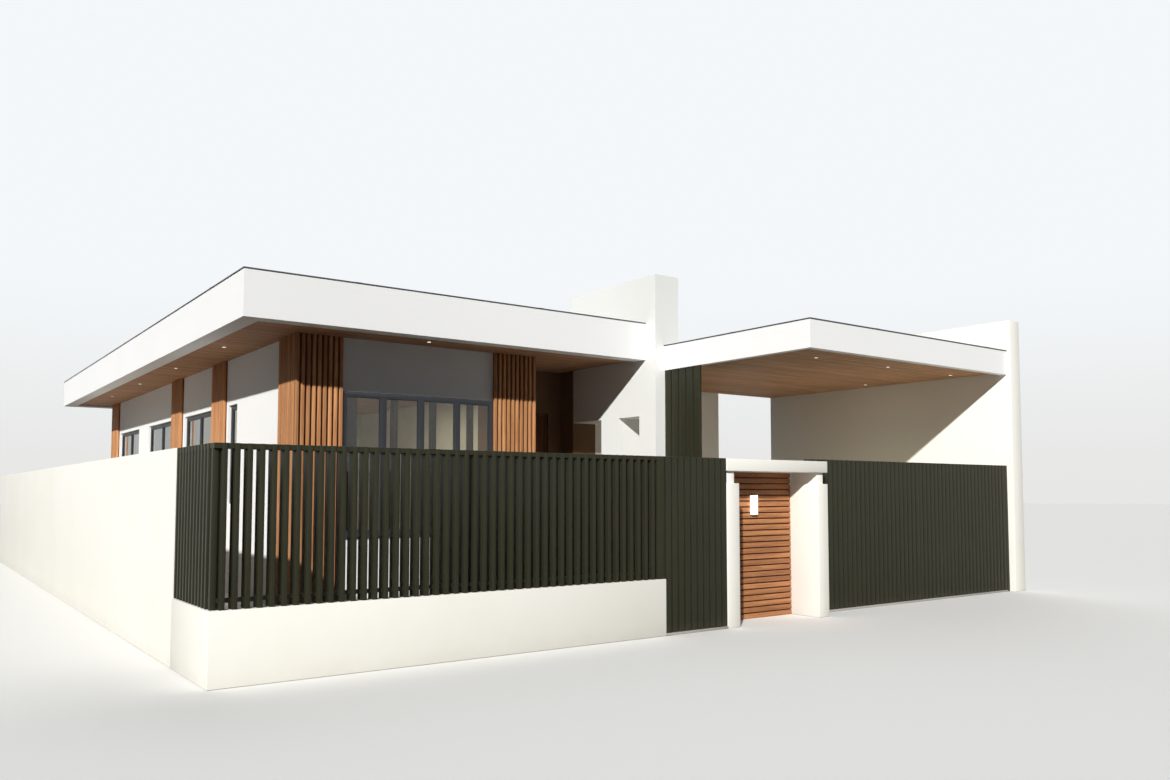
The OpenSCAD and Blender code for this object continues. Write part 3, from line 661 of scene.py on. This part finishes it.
doors = {
    "frameFace": 0.055, "threshold": 0.012, "plankWidth": 0.118, "plankGap": 0.004,
    "plankProud": 0.004, "pullLength": 1.10, "pullRadius": 0.014, "pullStand": 0.045,
    "pullMiddle": 1.10,  # above the floor
    "pullIn": 0.11,
    "lockDrop": 0.72,  # below the middle of the pull
    "hingeHeights": (0.25, 1.35, 2.45),
    "leverHeight": 1.02, "panels": 3, "kickHeight": 0.10,
}


def doorFrame(node, out, into):  # the frame and its threshold, and the clear sides and top
    low, high = nodeBox(node)
    (frameBm, metal), face = newShapes(2), doors["frameFace"]
    ringInto(frameBm, low, high, face, 0.003)
    barInto(metal, (low.x + 0.01, low.y - out, low.z),
            (high.x - 0.01, high.y + into, low.z + doors["threshold"]), 0.004, 2)
    return low, high, frameBm, metal, low.x + face, high.x - face, high.z - face


def entranceDoor():
    low, high, frameBm, metal, x0, x1, top = doorFrame("entrance_door", 0.012, 0.006)
    planks = newShape()
    y0, y1 = low.y + 0.012, high.y - 0.012
    front, half = y0 - doors["plankProud"], doors["plankGap"] / 2
    count = round((x1 - x0) / doors["plankWidth"])
    step = (x1 - x0) / count
    for i in range(count):
        barInto(planks, (x0 + i * step + half, front, low.z + 0.006),
                (x0 + (i + 1) * step - half, y0 + 0.012, top - 0.004), 0.003, 2, random.random())
    barInto(planks, (x0 + 0.002, y0 + 0.008, low.z + 0.004), (x1 - 0.002, y1, top - 0.002), 0.002, 1, 0.4)
    pullX, middle = x1 - doors["pullIn"], low.z + doors["pullMiddle"]
    head, foot = middle + doors["pullLength"] / 2, middle - doors["pullLength"] / 2
    radius, stand = doors["pullRadius"], doors["pullStand"]
    spunInto(metal, [(0, foot), (radius * 0.8, foot), (radius, foot + 0.003), (radius, head - 0.003),
                     (radius * 0.8, head), (0, head)], at(pullX, front - stand, 0))
    for height in (foot + 0.12, head - 0.12):
        spunInto(metal, [(0, 0), (0.009, 0), (0.009, stand - 0.006), (0.017, stand - 0.004),
                         (0.017, stand + 0.002), (0, stand + 0.002)],
                 at(pullX, front - stand, height, "Y"), 16)
    spunInto(metal, [(0, 0), (0.022, 0), (0.024, 0.003), (0.024, 0.007), (0, 0.007)],
             at(pullX, front - 0.006, middle - doors["lockDrop"], "Y"))
    for height in doors["hingeHeights"]:
        spunInto(metal, [(0, 0), (0.008, 0), (0.008, 0.1), (0, 0.1)],
                 at(x0 + 0.001, y0 - 0.006, low.z + height), 16)
    finishPiece(frameBm, "entranceFrame", doorTimber, stands="entrance_door")
    finishPiece(planks, "entrancePlanks", doorTimber)
    finishPiece(metal, "entranceMetal", steel)


def sideDoor():
    low, high, bm, metal, x0, x1, top = doorFrame("side_door", 0.010, 0.004)
    barInto(bm, (x0 + 0.003, low.y + 0.010, low.z + 0.006), (x1 - 0.003, high.y - 0.010, top - 0.003),
            0.002, 1)
    span = (top - low.z - 0.30) / doors["panels"]
    for i in range(doors["panels"]):
        foot = low.z + 0.12 + i * (span + 0.03)
        ringInto(bm, (x0 + 0.10, low.y + 0.004, foot), (x1 - 0.10, low.y + 0.012, foot + span - 0.03),
                 0.018, 0.002)
    x, y, z = x0 + 0.07, low.y + 0.010, low.z + doors["leverHeight"]
    spunInto(metal, [(0, 0), (0.026, 0), (0.026, 0.006), (0.012, 0.010), (0.009, 0.045), (0, 0.045)],
             at(x, y, z, "-Y"))
    barInto(metal, (x - 0.010, y - 0.056, z - 0.009), (x + 0.125, y - 0.038, z + 0.009), 0.006, 3)
    spunInto(metal, [(0, 0), (0.018, 0), (0.018, 0.005), (0.006, 0.007), (0, 0.007)],
             at(x, y, z - 0.11, "-Y"))
    barInto(metal, (x0 + 0.03, low.y + 0.006, low.z + 0.02),
            (x1 - 0.03, low.y + 0.011, low.z + doors["kickHeight"]), 0.001, 1)
    finishPiece(bm, "sideDoorLeaf", frameMetal, stands="side_door")
    finishPiece(metal, "sideDoorMetal", steel)


entranceDoor()
sideDoor()
print("doors made")

# Slatted fence, screens and posts

fence = {
    "setback": 0.020,  # fins behind the street face of the plinth
    "slatDepth": 0.125, "topRail": 0.050, "topRailIn": 0.008,
    "corner": 0.050,  # corner post, and its way in from the fin fronts
    "cornerIn": 0.045, "rail": 0.040, "railLift": 0.060, "soften": 0.002,
}


def boltInto(bm, place):  # a hexagon head with a washer under it
    radius = 0.007
    spunInto(bm, [(0, 0), (radius * 1.5, 0), (radius * 1.5, radius * 0.25), (radius, radius * 0.25),
                  (radius, radius), (radius * 0.8, radius * 1.15), (0, radius * 1.15)], place, 6)


def screenPiece(name, node, run):  # run is 0 along X and 1 along Y
    low, high = nodeBox(node)
    deep, rail, soften = 1 - run, fence["rail"], fence["soften"]
    front = cadBox[0][deep] + fence["setback"]
    back = front + fence["slatDepth"]
    bm = newShape()
    for start, end in spansOn(node, deep, front, run):
        barInto(bm, moved(low, {run: start, deep: front}), moved(high, {run: end, deep: back}), soften, 2)
    barInto(bm, moved(low, {deep: front + fence["topRailIn"], 2: high.z - fence["topRail"]}),
            moved(high, {deep: back, 2: high.z - 0.001}), soften, 1)
    x = cadBox[0][0] + fence["setback"] + fence["topRailIn"] + fence["corner"]
    y = cadBox[0][1] + fence["setback"] + fence["cornerIn"]
    foot = low.z + fence["railLift"]
    start, end = (x, y), (high.x, y + rail)
    if run:
        start, end = (x - rail, y + fence["corner"]), (x, high.y)
    barInto(bm, (*start, foot), (*end, foot + rail), soften, 1)
    finishPiece(bm, name, darkMetal, stands=node)


screenPiece("frontScreen", "front_screen", 0)
screenPiece("sideScreen", "side_screen", 1)

bm, caps = newShapes(2)
for low, high in solidBoxes("fence_posts"):
    wide = high.x - low.x > 0.1  # the flat post beside the gate, open to the sky
    barInto(bm, low, high - Vector((0, 0, 0.003 if wide else 0)), fence["soften"], 2)
    if wide:
        barInto(caps, (low.x - 0.001, low.y - 0.002, high.z - 0.004), (high.x, high.y + 0.002, high.z),
                0.0015, 2)
finishPiece(bm, "fencePosts", darkMetal, stands="fence_posts")
finishPiece(caps, "postCaps", darkMetal)

carportScreen = {
    "soften": 0.003, "shoe": 0.010, "shoeHeight": 0.060, "shoeIn": 0.012, "boltIn": 0.035,
}
bm, bolts = newShapes(2)
shoe, tall, shoeIn, boltIn = [carportScreen[key] for key in ("shoe", "shoeHeight", "shoeIn", "boltIn")]
for low, high in solidBoxes("carport_screen"):
    barInto(bm, low, high, carportScreen["soften"], 2)
    for foot in (low.z, high.z - tall):
        barInto(bm, (high.x - 0.002, low.y + shoeIn, foot), (high.x + shoe, high.y - shoeIn, foot + tall),
                0.002, 1)
        for y in (low.y + boltIn, high.y - boltIn):
            boltInto(bolts, at(high.x + shoe, y, foot + tall / 2, "X"))
finishPiece(bm, "carportScreen", darkMetal, stands="carport_screen")
finishPiece(bolts, "carportScreenBolts", steel, angle=25)
print("fence and screens made")

# Gates with their frames, hinges, locks and drop bolts

gates = {
    "slatDepth": 0.030, "rail": 0.040, "soften": 0.0025, "hingeEnd": 0.280,
    "barrelHeight": 0.070, "barrelWall": 0.008,
    "tabIn": 0.010,  # from the pin's middle to the near side of the welded tab
    "pinRadius": 0.009, "pinGap": 0.0004, "bracket": 0.012, "bracketEdge": 0.005,
    "latchIn": 0.020, "lockHeight": 1.02,
    "lockSize": (0.070, 0.170),
    "guides": (0.03, 0.28, 0.47),
    "post": 0.080,
}
gateLeaves = {  # node, 1 where the pin is at the leaf's right or -1, and what it carries
    "footGate": ("foot_gate", 1, "lock"),
    "driveGateLeft": ("drive_gate_left", -1, "bolt"),
    "driveGateRight": ("drive_gate_right", 1, "lock and bolt"),
}
pinPlace = {joint["child"]: joint["pos_m"][:2] for joint in frame["joints"]}


def hingeFeet(node):
    low, high = nodeBox(node)
    return low.z + gates["hingeEnd"], high.z - gates["hingeEnd"] - gates["barrelHeight"]


def leafInto(bm, metal, node, side):  # the leaf with its barrels; gives the latch's x and the back's y
    low, high = nodeBox(node)
    spans = spansOn(node, 1, low.y, 0)
    x0, x1 = spans[0][0], spans[-1][1]
    rail, soften, tall = gates["rail"], gates["soften"], gates["barrelHeight"]
    back = low.y + gates["slatDepth"]
    deep = back + rail
    for start, end in spans:
        barInto(bm, (start, low.y, low.z), (end, back, high.z), soften, 2)
    ringInto(bm, (x0, back - 0.0005, low.z), (x1, deep, high.z), rail, soften)
    middle = (low.z + high.z - rail) / 2
    barInto(bm, (x0 + rail - 0.001, back - 0.0005, middle),
            (x1 - rail + 0.001, deep - 0.001, middle + rail), soften, 1)
    pinX, pinY = pinPlace[node]
    outer = gates["pinRadius"] + gates["barrelWall"]
    inner = gates["pinRadius"] + gates["pinGap"]
    near, far = sorted((pinX - side * outer, pinX - side * gates["tabIn"]))
    for foot in hingeFeet(node):
        spunInto(metal, [(inner, 0.001), (inner + 0.001, 0), (outer - 0.002, 0), (outer, 0.002),
                         (outer, tall - 0.002), (outer - 0.002, tall), (inner + 0.001, tall),
                         (inner, tall - 0.001), (inner, 0.001)], at(pinX, pinY, foot))
        barInto(metal, (near, deep - 0.002, foot + 0.002), (far, pinY, foot + tall - 0.002), 0.002, 1)
    return (x0 if side > 0 else x1) + side * gates["latchIn"], deep


def lockInto(bm, metal, latchX, side, deep, low):  # lock case, lever with its rose, and keyhole
    wide, tall = gates["lockSize"]
    x, y = latchX + side * wide / 2, deep + 0.004
    foot = low + gates["lockHeight"] - tall / 2
    barInto(bm, (x - wide / 2, deep - gates["rail"], foot), (x + wide / 2, y, foot + tall), 0.003, 2)
    z = foot + tall * 0.62
    spunInto(metal, [(0, 0), (0.024, 0), (0.024, 0.005), (0.011, 0.009), (0.009, 0.042), (0, 0.042)],
             at(x, y, z, "Y"), 20)
    start, end = sorted((x - 0.010 * side, x + 0.115 * side))
    barInto(metal, (start, y + 0.028, z - 0.009), (end, y + 0.043, z + 0.009), 0.006, 3)
    spunInto(metal, [(0, 0), (0.015, 0), (0.015, 0.004), (0.005, 0.006), (0, 0.006)],
             at(x, y, z - 0.060, "Y"), 20)


def dropBolt(metal, x, deep, low):  # rod that drops to the sill, with its guides and grip
    foot = low + 0.004
    spunInto(metal, [(0, foot), (0.006, foot), (0.008, foot + 0.004), (0.008, foot + 0.560),
                     (0.006, foot + 0.563), (0, foot + 0.563)], at(x, deep + 0.016, 0), 16)
    for height in gates["guides"]:
        barInto(metal, (x - 0.018, deep - 0.001, foot + height),
                (x + 0.018, deep + 0.028, foot + height + 0.030), 0.003, 2)
    spunInto(metal, [(0, 0), (0.006, 0), (0.006, 0.024), (0.009, 0.028), (0.009, 0.038), (0, 0.040)],
             at(x, deep + 0.016, foot + 0.400, "Y"), 16)


for name, (node, side, carried) in gateLeaves.items():
    bm, metal = newShapes(2)
    latchX, deep = leafInto(bm, metal, node, side)
    low = nodeBox(node)[0].z
    if "lock" in carried:
        lockInto(bm, metal, latchX, side, deep, low)
    if "bolt" in carried:
        dropBolt(metal, latchX + side * 0.004, deep, low)
    finishPiece(bm, name + "Leaf", darkMetal, node, node)
    finishPiece(metal, name + "Metal", steel, node)


def pintlesInto(bm, metal, node, supportX):  # a leaf's pins, on brackets that reach its support
    pinX, pinY = pinPlace[node]
    radius, gap = gates["pinRadius"], gates["pinGap"]
    wide, top = radius + gates["bracketEdge"], gates["barrelHeight"] + radius
    start, end = min(pinX - wide, supportX), max(pinX + wide, supportX)
    for foot in hingeFeet(node):
        level = foot - gap
        barInto(bm, (start, pinY - wide, level - gates["bracket"]), (end, pinY + wide, level), 0.002, 2)
        spunInto(metal, [(0, -0.004), (radius, -0.004), (radius, top - 0.006),
                         (radius - 0.003, top - 0.001), (0, top - gap)], at(pinX, pinY, foot), 20)


bm, metal = newShapes(2)
pintlesInto(bm, metal, "foot_gate", nodeBox("foot_gate_hinges")[1].x)
finishPiece(bm, "footGateBrackets", darkMetal, stands="foot_gate_hinges")
finishPiece(metal, "footGatePins", steel)

bm, metal = newShapes(2)
for (low, high), node in zip(solidBoxes("drive_gate_posts"), ("drive_gate_left", "drive_gate_right")):
    left = node == "drive_gate_left"
    x0 = low.x if left else high.x - gates["post"]
    x1 = x0 + gates["post"]
    barInto(bm, (x0, low.y, 0), (x1, high.y, high.z - 0.004), 0.004, 2)
    barInto(bm, (x0 + 0.003, low.y + 0.003, high.z - 0.006), (x1 - 0.003, high.y - 0.003, high.z),
            0.002, 2)
    pintlesInto(bm, metal, node, x1 - 0.002 if left else x0 + 0.002)
finishPiece(bm, "driveGatePosts", darkMetal, stands="drive_gate_posts")
finishPiece(metal, "driveGatePins", steel)
print("gates made")

# Street niche: level boards on a back that is dark from its stain and from painted shade, and the wall
# light

niche = {
    "boardDepth": 0.022, "boardRound": 0.004, "backing": 0.008, "backingGap": 0.002,
    "stud": 0.040, "studGap": 0.009, "screwIn": 0.020,
}
bm, backs, screws = newShapes(3)
low, high = nodeBox("niche_boards")
middle, back = (low.x + high.x) / 2, low.y + niche["boardDepth"]
for foot, top in spansOn("niche_boards", 1, low.y, 2):
    barInto(bm, (low.x, low.y, foot), (high.x, back, top), niche["boardRound"], 2, random.random())
    for x in (low.x + niche["screwIn"], middle, high.x - niche["screwIn"]):
        spunInto(screws, [(0, 0.0), (0.0045, 0.0), (0.0045, 0.0012), (0.003, 0.002), (0, 0.0012)],
                 at(x, low.y + 0.0006, (foot + top) / 2, "-Y"), 8)
face, half = back + niche["backingGap"], niche["stud"] / 2
barInto(backs, (low.x, face, low.z), (high.x, face + niche["backing"], high.z), 0.001)
for x in (low.x + half, high.x - half, middle):
    barInto(backs, (x - half, back + niche["studGap"], low.z), (x + half, high.y, high.z), 0.001)
finishPiece(bm, "nicheBoards", nicheTimber, stands="niche_boards")
finishPiece(backs, "nicheBacking", backingTimber)
finishPiece(screws, "nicheScrews", steel)

nicheLamp = {
    "plate": 0.006, "cap": 0.012, "soften": 0.006,
}
low, high = nodeBox("niche_light")
plate, cap = high.y - nicheLamp["plate"], nicheLamp["cap"]
bm, metal = newShapes(2)
barInto(bm, (low.x + 0.004, low.y, low.z + cap), (high.x - 0.004, plate, high.z - cap),
        nicheLamp["soften"], 3)
barInto(metal, (low.x, plate, low.z), high, 0.002, 2)
for foot in (low.z, high.z - cap):
    barInto(metal, (low.x, low.y - 0.002, foot), (high.x, high.y - 0.001, foot + cap), 0.003, 2)
finishPiece(bm, "nicheLightLens", nicheGlow, stands="niche_light")
finishPiece(metal, "nicheLightCaps", whiteMetal)
print("niche made")

# Downlights in the boarded ceilings

downlights = {
    "rim": 0.007, "drop": 0.0075,
}
rims, lenses = newShapes(2)
for low, high in solidBoxes("ceiling_lights"):
    place = at((low.x + high.x) / 2, (low.y + high.y) / 2, high.z)
    outer, drop = (high.x - low.x) / 2, -downlights["drop"]
    inner = outer - downlights["rim"]
    spunInto(rims, [(inner, 0.001), (inner, -0.004), (inner + 0.002, drop), (outer - 0.002, drop),
                    (outer, -0.005), (outer, 0.001), (inner, 0.001)], place, 32)
    spunInto(lenses, [(0, -0.0045), (inner * 0.6, -0.0042), (inner + 0.001, -0.0035),
                      (inner + 0.001, 0.0005), (0, 0.0005)], place, 32)
finishPiece(rims, "downlightRims", whiteMetal, stands="ceiling_lights")
finishPiece(lenses, "downlightLenses", lampGlow)
print("downlights made")

# Roof sheets with standing seams, flashings and drains

roof = {
    "seamPitch": 0.46, "seamWidth": 0.016, "seamHeight": 0.030, "seamEnd": 0.020,
    "web": 0.008, "bead": 0.010, "flashing": 0.110, "lowFlashing": 0.055,
    "flashingThickness": 0.003, "drainRadius": 0.075,
    "drains": ((0.25, 0.25), (0.75, 0.4), (0.25, 0.75), (0.75, 0.85)),  # shares of width and depth
    "carportDrop": 0.060,  # sheets below the top of the carport's edge
    "carportDrainIn": 0.5,
}


def seamsInto(bm, left, right, level, endsOf):  # folded seams along Y, each a thin web under a bead
    count = round((right - left) / roof["seamPitch"])
    step = (right - left) / count
    half, web, top = roof["seamWidth"] / 2, roof["web"] / 2, level + roof["seamHeight"]
    for i in range(1, count):
        x = left + i * step
        start, end = endsOf(x - half, x + half)
        start, end = start + roof["seamEnd"], end - roof["seamEnd"]
        barInto(bm, (x - web, start, level - 0.001), (x + web, end, top - 0.008))
        barInto(bm, (x - half, start, top - roof["bead"]), (x + half, end, top), 0.002, 1)
    return count, step


def flashingsInto(bm, level, height, runs):  # upright strips, from the corners of their plans
    for x0, y0, x1, y1 in runs:
        barInto(bm, (x0, y0, level), (x1, y1, level + height), 0.001)


def drainInto(bm, x, y, z):
    r = roof["drainRadius"]
    spunInto(bm, [(0, 0.030), (r * 0.35, 0.029), (r * 0.62, 0.022), (r * 0.70, 0.008), (r * 0.95, 0.006),
                  (r, 0.003), (r, -0.002), (0, -0.002)], at(x, y, z), 24)


seams, flashings, drains = newShapes(3)
(x0, y0, _), (x1, y1, top) = nodeBox("roof_deck")
(bladeLeft, bladeFront, _), (bladeRight, bladeBack, _) = nodeBox("blade_wall")
backY = nodeBox("carport_back_wall")[0].y
notchY = backY + nodeBox("roof_edge")[1].x - x1  # front of the deck over the carport's back wall
tall, thin = roof["flashing"], roof["flashingThickness"]


def deckEnds(left, right):  # where a seam of the main roof starts and ends
    if right < bladeLeft:
        return y0, y1
    return (bladeBack if left < bladeRight else notchY), y1


count, step = seamsInto(seams, x0, x1, top, deckEnds)
flashingsInto(flashings, top, tall, [
    (x0, y0, bladeLeft, y0 + thin), (x0, y0, x0 + thin, y1), (x0, y1 - thin, x1, y1),
    (x1 - thin, notchY, x1, y1), (bladeRight, notchY, x1, notchY + thin),
    (bladeLeft - thin, y0, bladeLeft, bladeBack),
    (bladeLeft, bladeBack, bladeRight, bladeBack + thin),
    (bladeRight, notchY, bladeRight + thin, bladeBack)])
for across, along in roof["drains"]:
    drainInto(drains, x0 + round(across * count + 0.5) * step - step / 2, y0 + along * (y1 - y0), top)

carTop = nodeBox("carport_roof")[1].z - roof["carportDrop"]
(x0, y0, _), (x1, y1, _) = nodeBox("carport_ceiling")


def carportEnds(left, right):  # where a seam of the carport's roof starts and ends
    return y0, y1 if left > bladeRight else bladeFront


count, step = seamsInto(seams, x0, x1, carTop, carportEnds)
flashingsInto(flashings, carTop, roof["lowFlashing"], [
    (x0, y0, x1, y0 + thin), (x0, y0, x0 + thin, bladeFront)])
flashingsInto(flashings, carTop, tall, [
    (bladeRight, y1 - thin, x1, y1), (bladeRight, bladeFront, bladeRight + thin, y1),
    (x1 - thin, y0, x1, y1)])
drainInto(drains, x1 - step / 2, y1 - roof["carportDrainIn"], carTop)
bm = newShape()
barInto(bm, (x0, y0, carTop - 0.002), (x1, bladeFront, carTop + 0.002), 0.001)
barInto(bm, (bladeRight, bladeFront - 0.001, carTop - 0.002), (x1, y1, carTop + 0.002), 0.001)
finishPiece(bm, "carportSheets", roofSheet)
finishPiece(seams, "roofSeams", roofSheet)
finishPiece(flashings, "roofFlashings", trimMetal)
finishPiece(drains, "roofDrains", trimMetal)

trimJoints = {
    "width": 0.09, "spacing": 3.0, "leastEnd": 0.3, "thickness": 0.0015, "lap": 0.07,
    "mainOver": 4.3,  # a trim that rises past this height is the main roof's
}


def jointInto(bm, low, high, run, along, far):  # a cover over a joint, at a trim's near or far side
    deep, proud, lap = 1 - run, trimJoints["thickness"], trimJoints["lap"]
    start, end = (high[deep] - lap, high[deep] + proud) if far else (low[deep] - proud, low[deep] + lap)
    barInto(bm, moved(low, {run: along, deep: start, 2: low.z + 0.002}),
            moved(high, {run: along + trimJoints["width"], deep: end, 2: high.z + proud}), 0.001)


bm = newShape()
for low, high in solidBoxes("roof_trims"):
    isMain = high.z > trimJoints["mainOver"]
    for run in (0, 1):
        along = low[run] + trimJoints["spacing"] / 2
        while along < high[run] - trimJoints["leastEnd"]:
            if isMain == (run == 1) or along < (bladeFront if run else bladeLeft - 0.1):
                jointInto(bm, low, high, run, along, False)
            if isMain and (run == 0 or along > backY + 0.2):
                jointInto(bm, low, high, run, along, True)
            along += trimJoints["spacing"]
finishPiece(bm, "trimJoints", trimMetal)
print("roof details made")

# Dark strips let into the step edges

steps = {
    "strips": 3, "stripWidth": 0.010, "stripPitch": 0.024, "inset": 0.040,
    "sideInset": 0.060, "proud": 0.0015, "going": 0.300,
}
bm = newShape()
low, high = nodeBox("porch_steps")
levels = sorted({round(vert.co.z, 4) for vert in nodes["porch_steps"].data.vertices if vert.co.z > 0.01})
for level, y in zip(levels, (low.y, low.y + steps["going"])):
    for i in range(steps["strips"]):
        start = y + steps["inset"] + i * steps["stripPitch"]
        barInto(bm, (low.x + steps["sideInset"], start, level - 0.001),
                (bladeLeft - steps["sideInset"], start + steps["stripWidth"], level + steps["proud"]),
                0.0005)
finishPiece(bm, "stepStrips", rubber)
print("step strips made")

# Camera at the photograph's place

camera = {
    "focalPixels": 938.0,
    "imageSize": (1170, 780),
    "centrePixel": (584.8, 438.3),
    "place": (-9.015, -17.898, 1.672),
    "yaw": 36.447,  # degrees right of the Y axis
    "pitch": 3.37,  # degrees up
    "sensor": 36.0,
}
(wide, tall), (middleX, middleY) = camera["imageSize"], camera["centrePixel"]
lens = bpy.data.cameras.new("streetCamera")
lens.sensor_width = camera["sensor"]
lens.lens = camera["focalPixels"] / wide * lens.sensor_width
lens.shift_x = (wide / 2 - middleX) / wide
lens.shift_y = (middleY - tall / 2) / wide
lens.clip_end = 400.0
eye = newObject("streetCamera", lens)
eye.location = camera["place"]
eye.rotation_euler = (math.radians(90 + camera["pitch"]), 0, -math.radians(camera["yaw"]))
bpy.context.scene.camera = eye

# Light, floor and background

suns = {  # travel, strength, angle in degrees and colour
    "sun": ((1.61, 1.39, -1.0), 4.25, 1.2, (1.0, 0.985, 0.96)),
    "rearLight": ((-1.2, -1.5, -1.6), 0.8, 50.0, (1, 1, 1)),  # soft, for the sides away from the sun
}
softLamps = {  # middle, width and length, direction, watts and colour
    "drivewayGlow": ((5.0, -7.3, 0.06), (2.6, 3.2), (0.3, 0.2, 1), 45.0, (1.0, 0.97, 0.74)),
    "passageGlow": ((-5.6, 3.4, 0.06), (6.4, 1.6), (0.4, 0, 1), 40.0, (1.0, 0.95, 0.8)),
    "roomGlow": ((-2.5, -2.9, 3.3), (2.0, 2.0), (0, 0, -1), 45.0, (1.0, 0.92, 0.78)),
}
studio = {
    "ambient": (0.6, 0.8, 1.05),
    "ambientStrength": 0.05,
    "backdrop": (0.90, 0.93, 0.95, 1),
    "horizon": (0.80, 0.80, 0.79, 1),
    "horizonTop": 0.22,
    "floorSeen": paint(250, 250, 248),
    "floorBounce": paint(158, 157, 151),
    "farBounce": paint(70, 76, 80),  # ground well away from the walls
    "nearRange": {"X": (7.2, 9.2), "Y": (13.0, 15.0)},  # m, where near turns to far
    "yardBounce": paint(38, 44, 40),  # planted yard behind the fence, for bounced light only
    "yard": ((-6.65, -9.35), (-0.7, -2.4)),
    "floorRadius": 160.0, "floorDrop": 0.002,
}


def lampInto(name, kind, travel, energy, colour):
    light = bpy.data.lights.new(name, kind)
    light.energy = energy
    light.color = colour
    lamp = newObject(name, light)
    lamp.rotation_euler = Vector(travel).to_track_quat("-Z", "Y").to_euler()
    return lamp, light


for name, (travel, strength, angle, colour) in suns.items():
    lamp, light = lampInto(name, "SUN", travel, strength, colour)
    light.angle = math.radians(angle)
for name, (place, size, travel, watts, colour) in softLamps.items():
    lamp, light = lampInto(name, "AREA", travel, watts, colour)
    light.shape = "RECTANGLE"
    light.size, light.size_y = size
    lamp.location = place
    for rays in ("camera", "glossy", "transmission"):
        setattr(lamp, "visible_" + rays, False)


def seenDirectly(tree):  # 1 for camera, glossy and transmission rays
    path = addNode(tree, "LightPath").outputs
    seen = calc(tree, "MAXIMUM", path["Is Camera Ray"], path["Is Glossy Ray"])
    return calc(tree, "MAXIMUM", seen, path["Is Transmission Ray"])


def splitOf(tree, kind):  # the three numbers of a texture coordinate
    return filled(tree, "SeparateXYZ", {0: addNode(tree, "TexCoord").outputs[kind]})


world = bpy.data.worlds.new("studioWorld")
bpy.context.scene.world = world
world.use_nodes = True
tree = world.node_tree
tree.nodes.clear()
dim = [value * studio["ambientStrength"] for value in studio["ambient"]] + [1.0]
height = ramp(tree, splitOf(tree, "Generated")["Z"], 0.0, studio["horizonTop"])
sky = mixOf(tree, height, studio["horizon"], studio["backdrop"])
background = filled(tree, "Background", {"Color": mixOf(tree, seenDirectly(tree), dim, sky)})
feed(tree, addNode(tree, "OutputWorld").inputs[0], background[0])

bm = bmesh.new()
bmesh.ops.create_circle(bm, cap_ends=True, segments=96, radius=studio["floorRadius"])
floorMesh = bpy.data.meshes.new("floor")
bm.to_mesh(floorMesh)
bm.free()
floor = newObject("floor", floorMesh)
floorMesh.transform(Matrix.Translation((0, 0, -studio["floorDrop"])))
floorMaterial, tree, shader = newMaterial("paleFloor")
split = splitOf(tree, "Object")
inside, away = 1.0, 0.0
for axis, low, high in zip("XY", *studio["yard"]):
    inside = times(tree, inside, calc(tree, "GREATER_THAN", split[axis], low))
    inside = times(tree, inside, calc(tree, "LESS_THAN", split[axis], high))
for axis, (near, far) in studio["nearRange"].items():
    away = calc(tree, "MAXIMUM", away, ramp(tree, calc(tree, "ABSOLUTE", split[axis]), near, far))
bounce = mixOf(tree, away, studio["floorBounce"], studio["farBounce"])
bounce = mixOf(tree, inside, bounce, studio["yardBounce"])
feedAll(tree, shader, {
    "Base Color": mixOf(tree, seenDirectly(tree), bounce, studio["floorSeen"]), "Roughness": 0.9,
    "Specular IOR Level": 0.1})
floorMesh.materials.append(floorMaterial)
bpy.context.scene.view_settings.view_transform = "Standard"
print("camera, light and floor set")
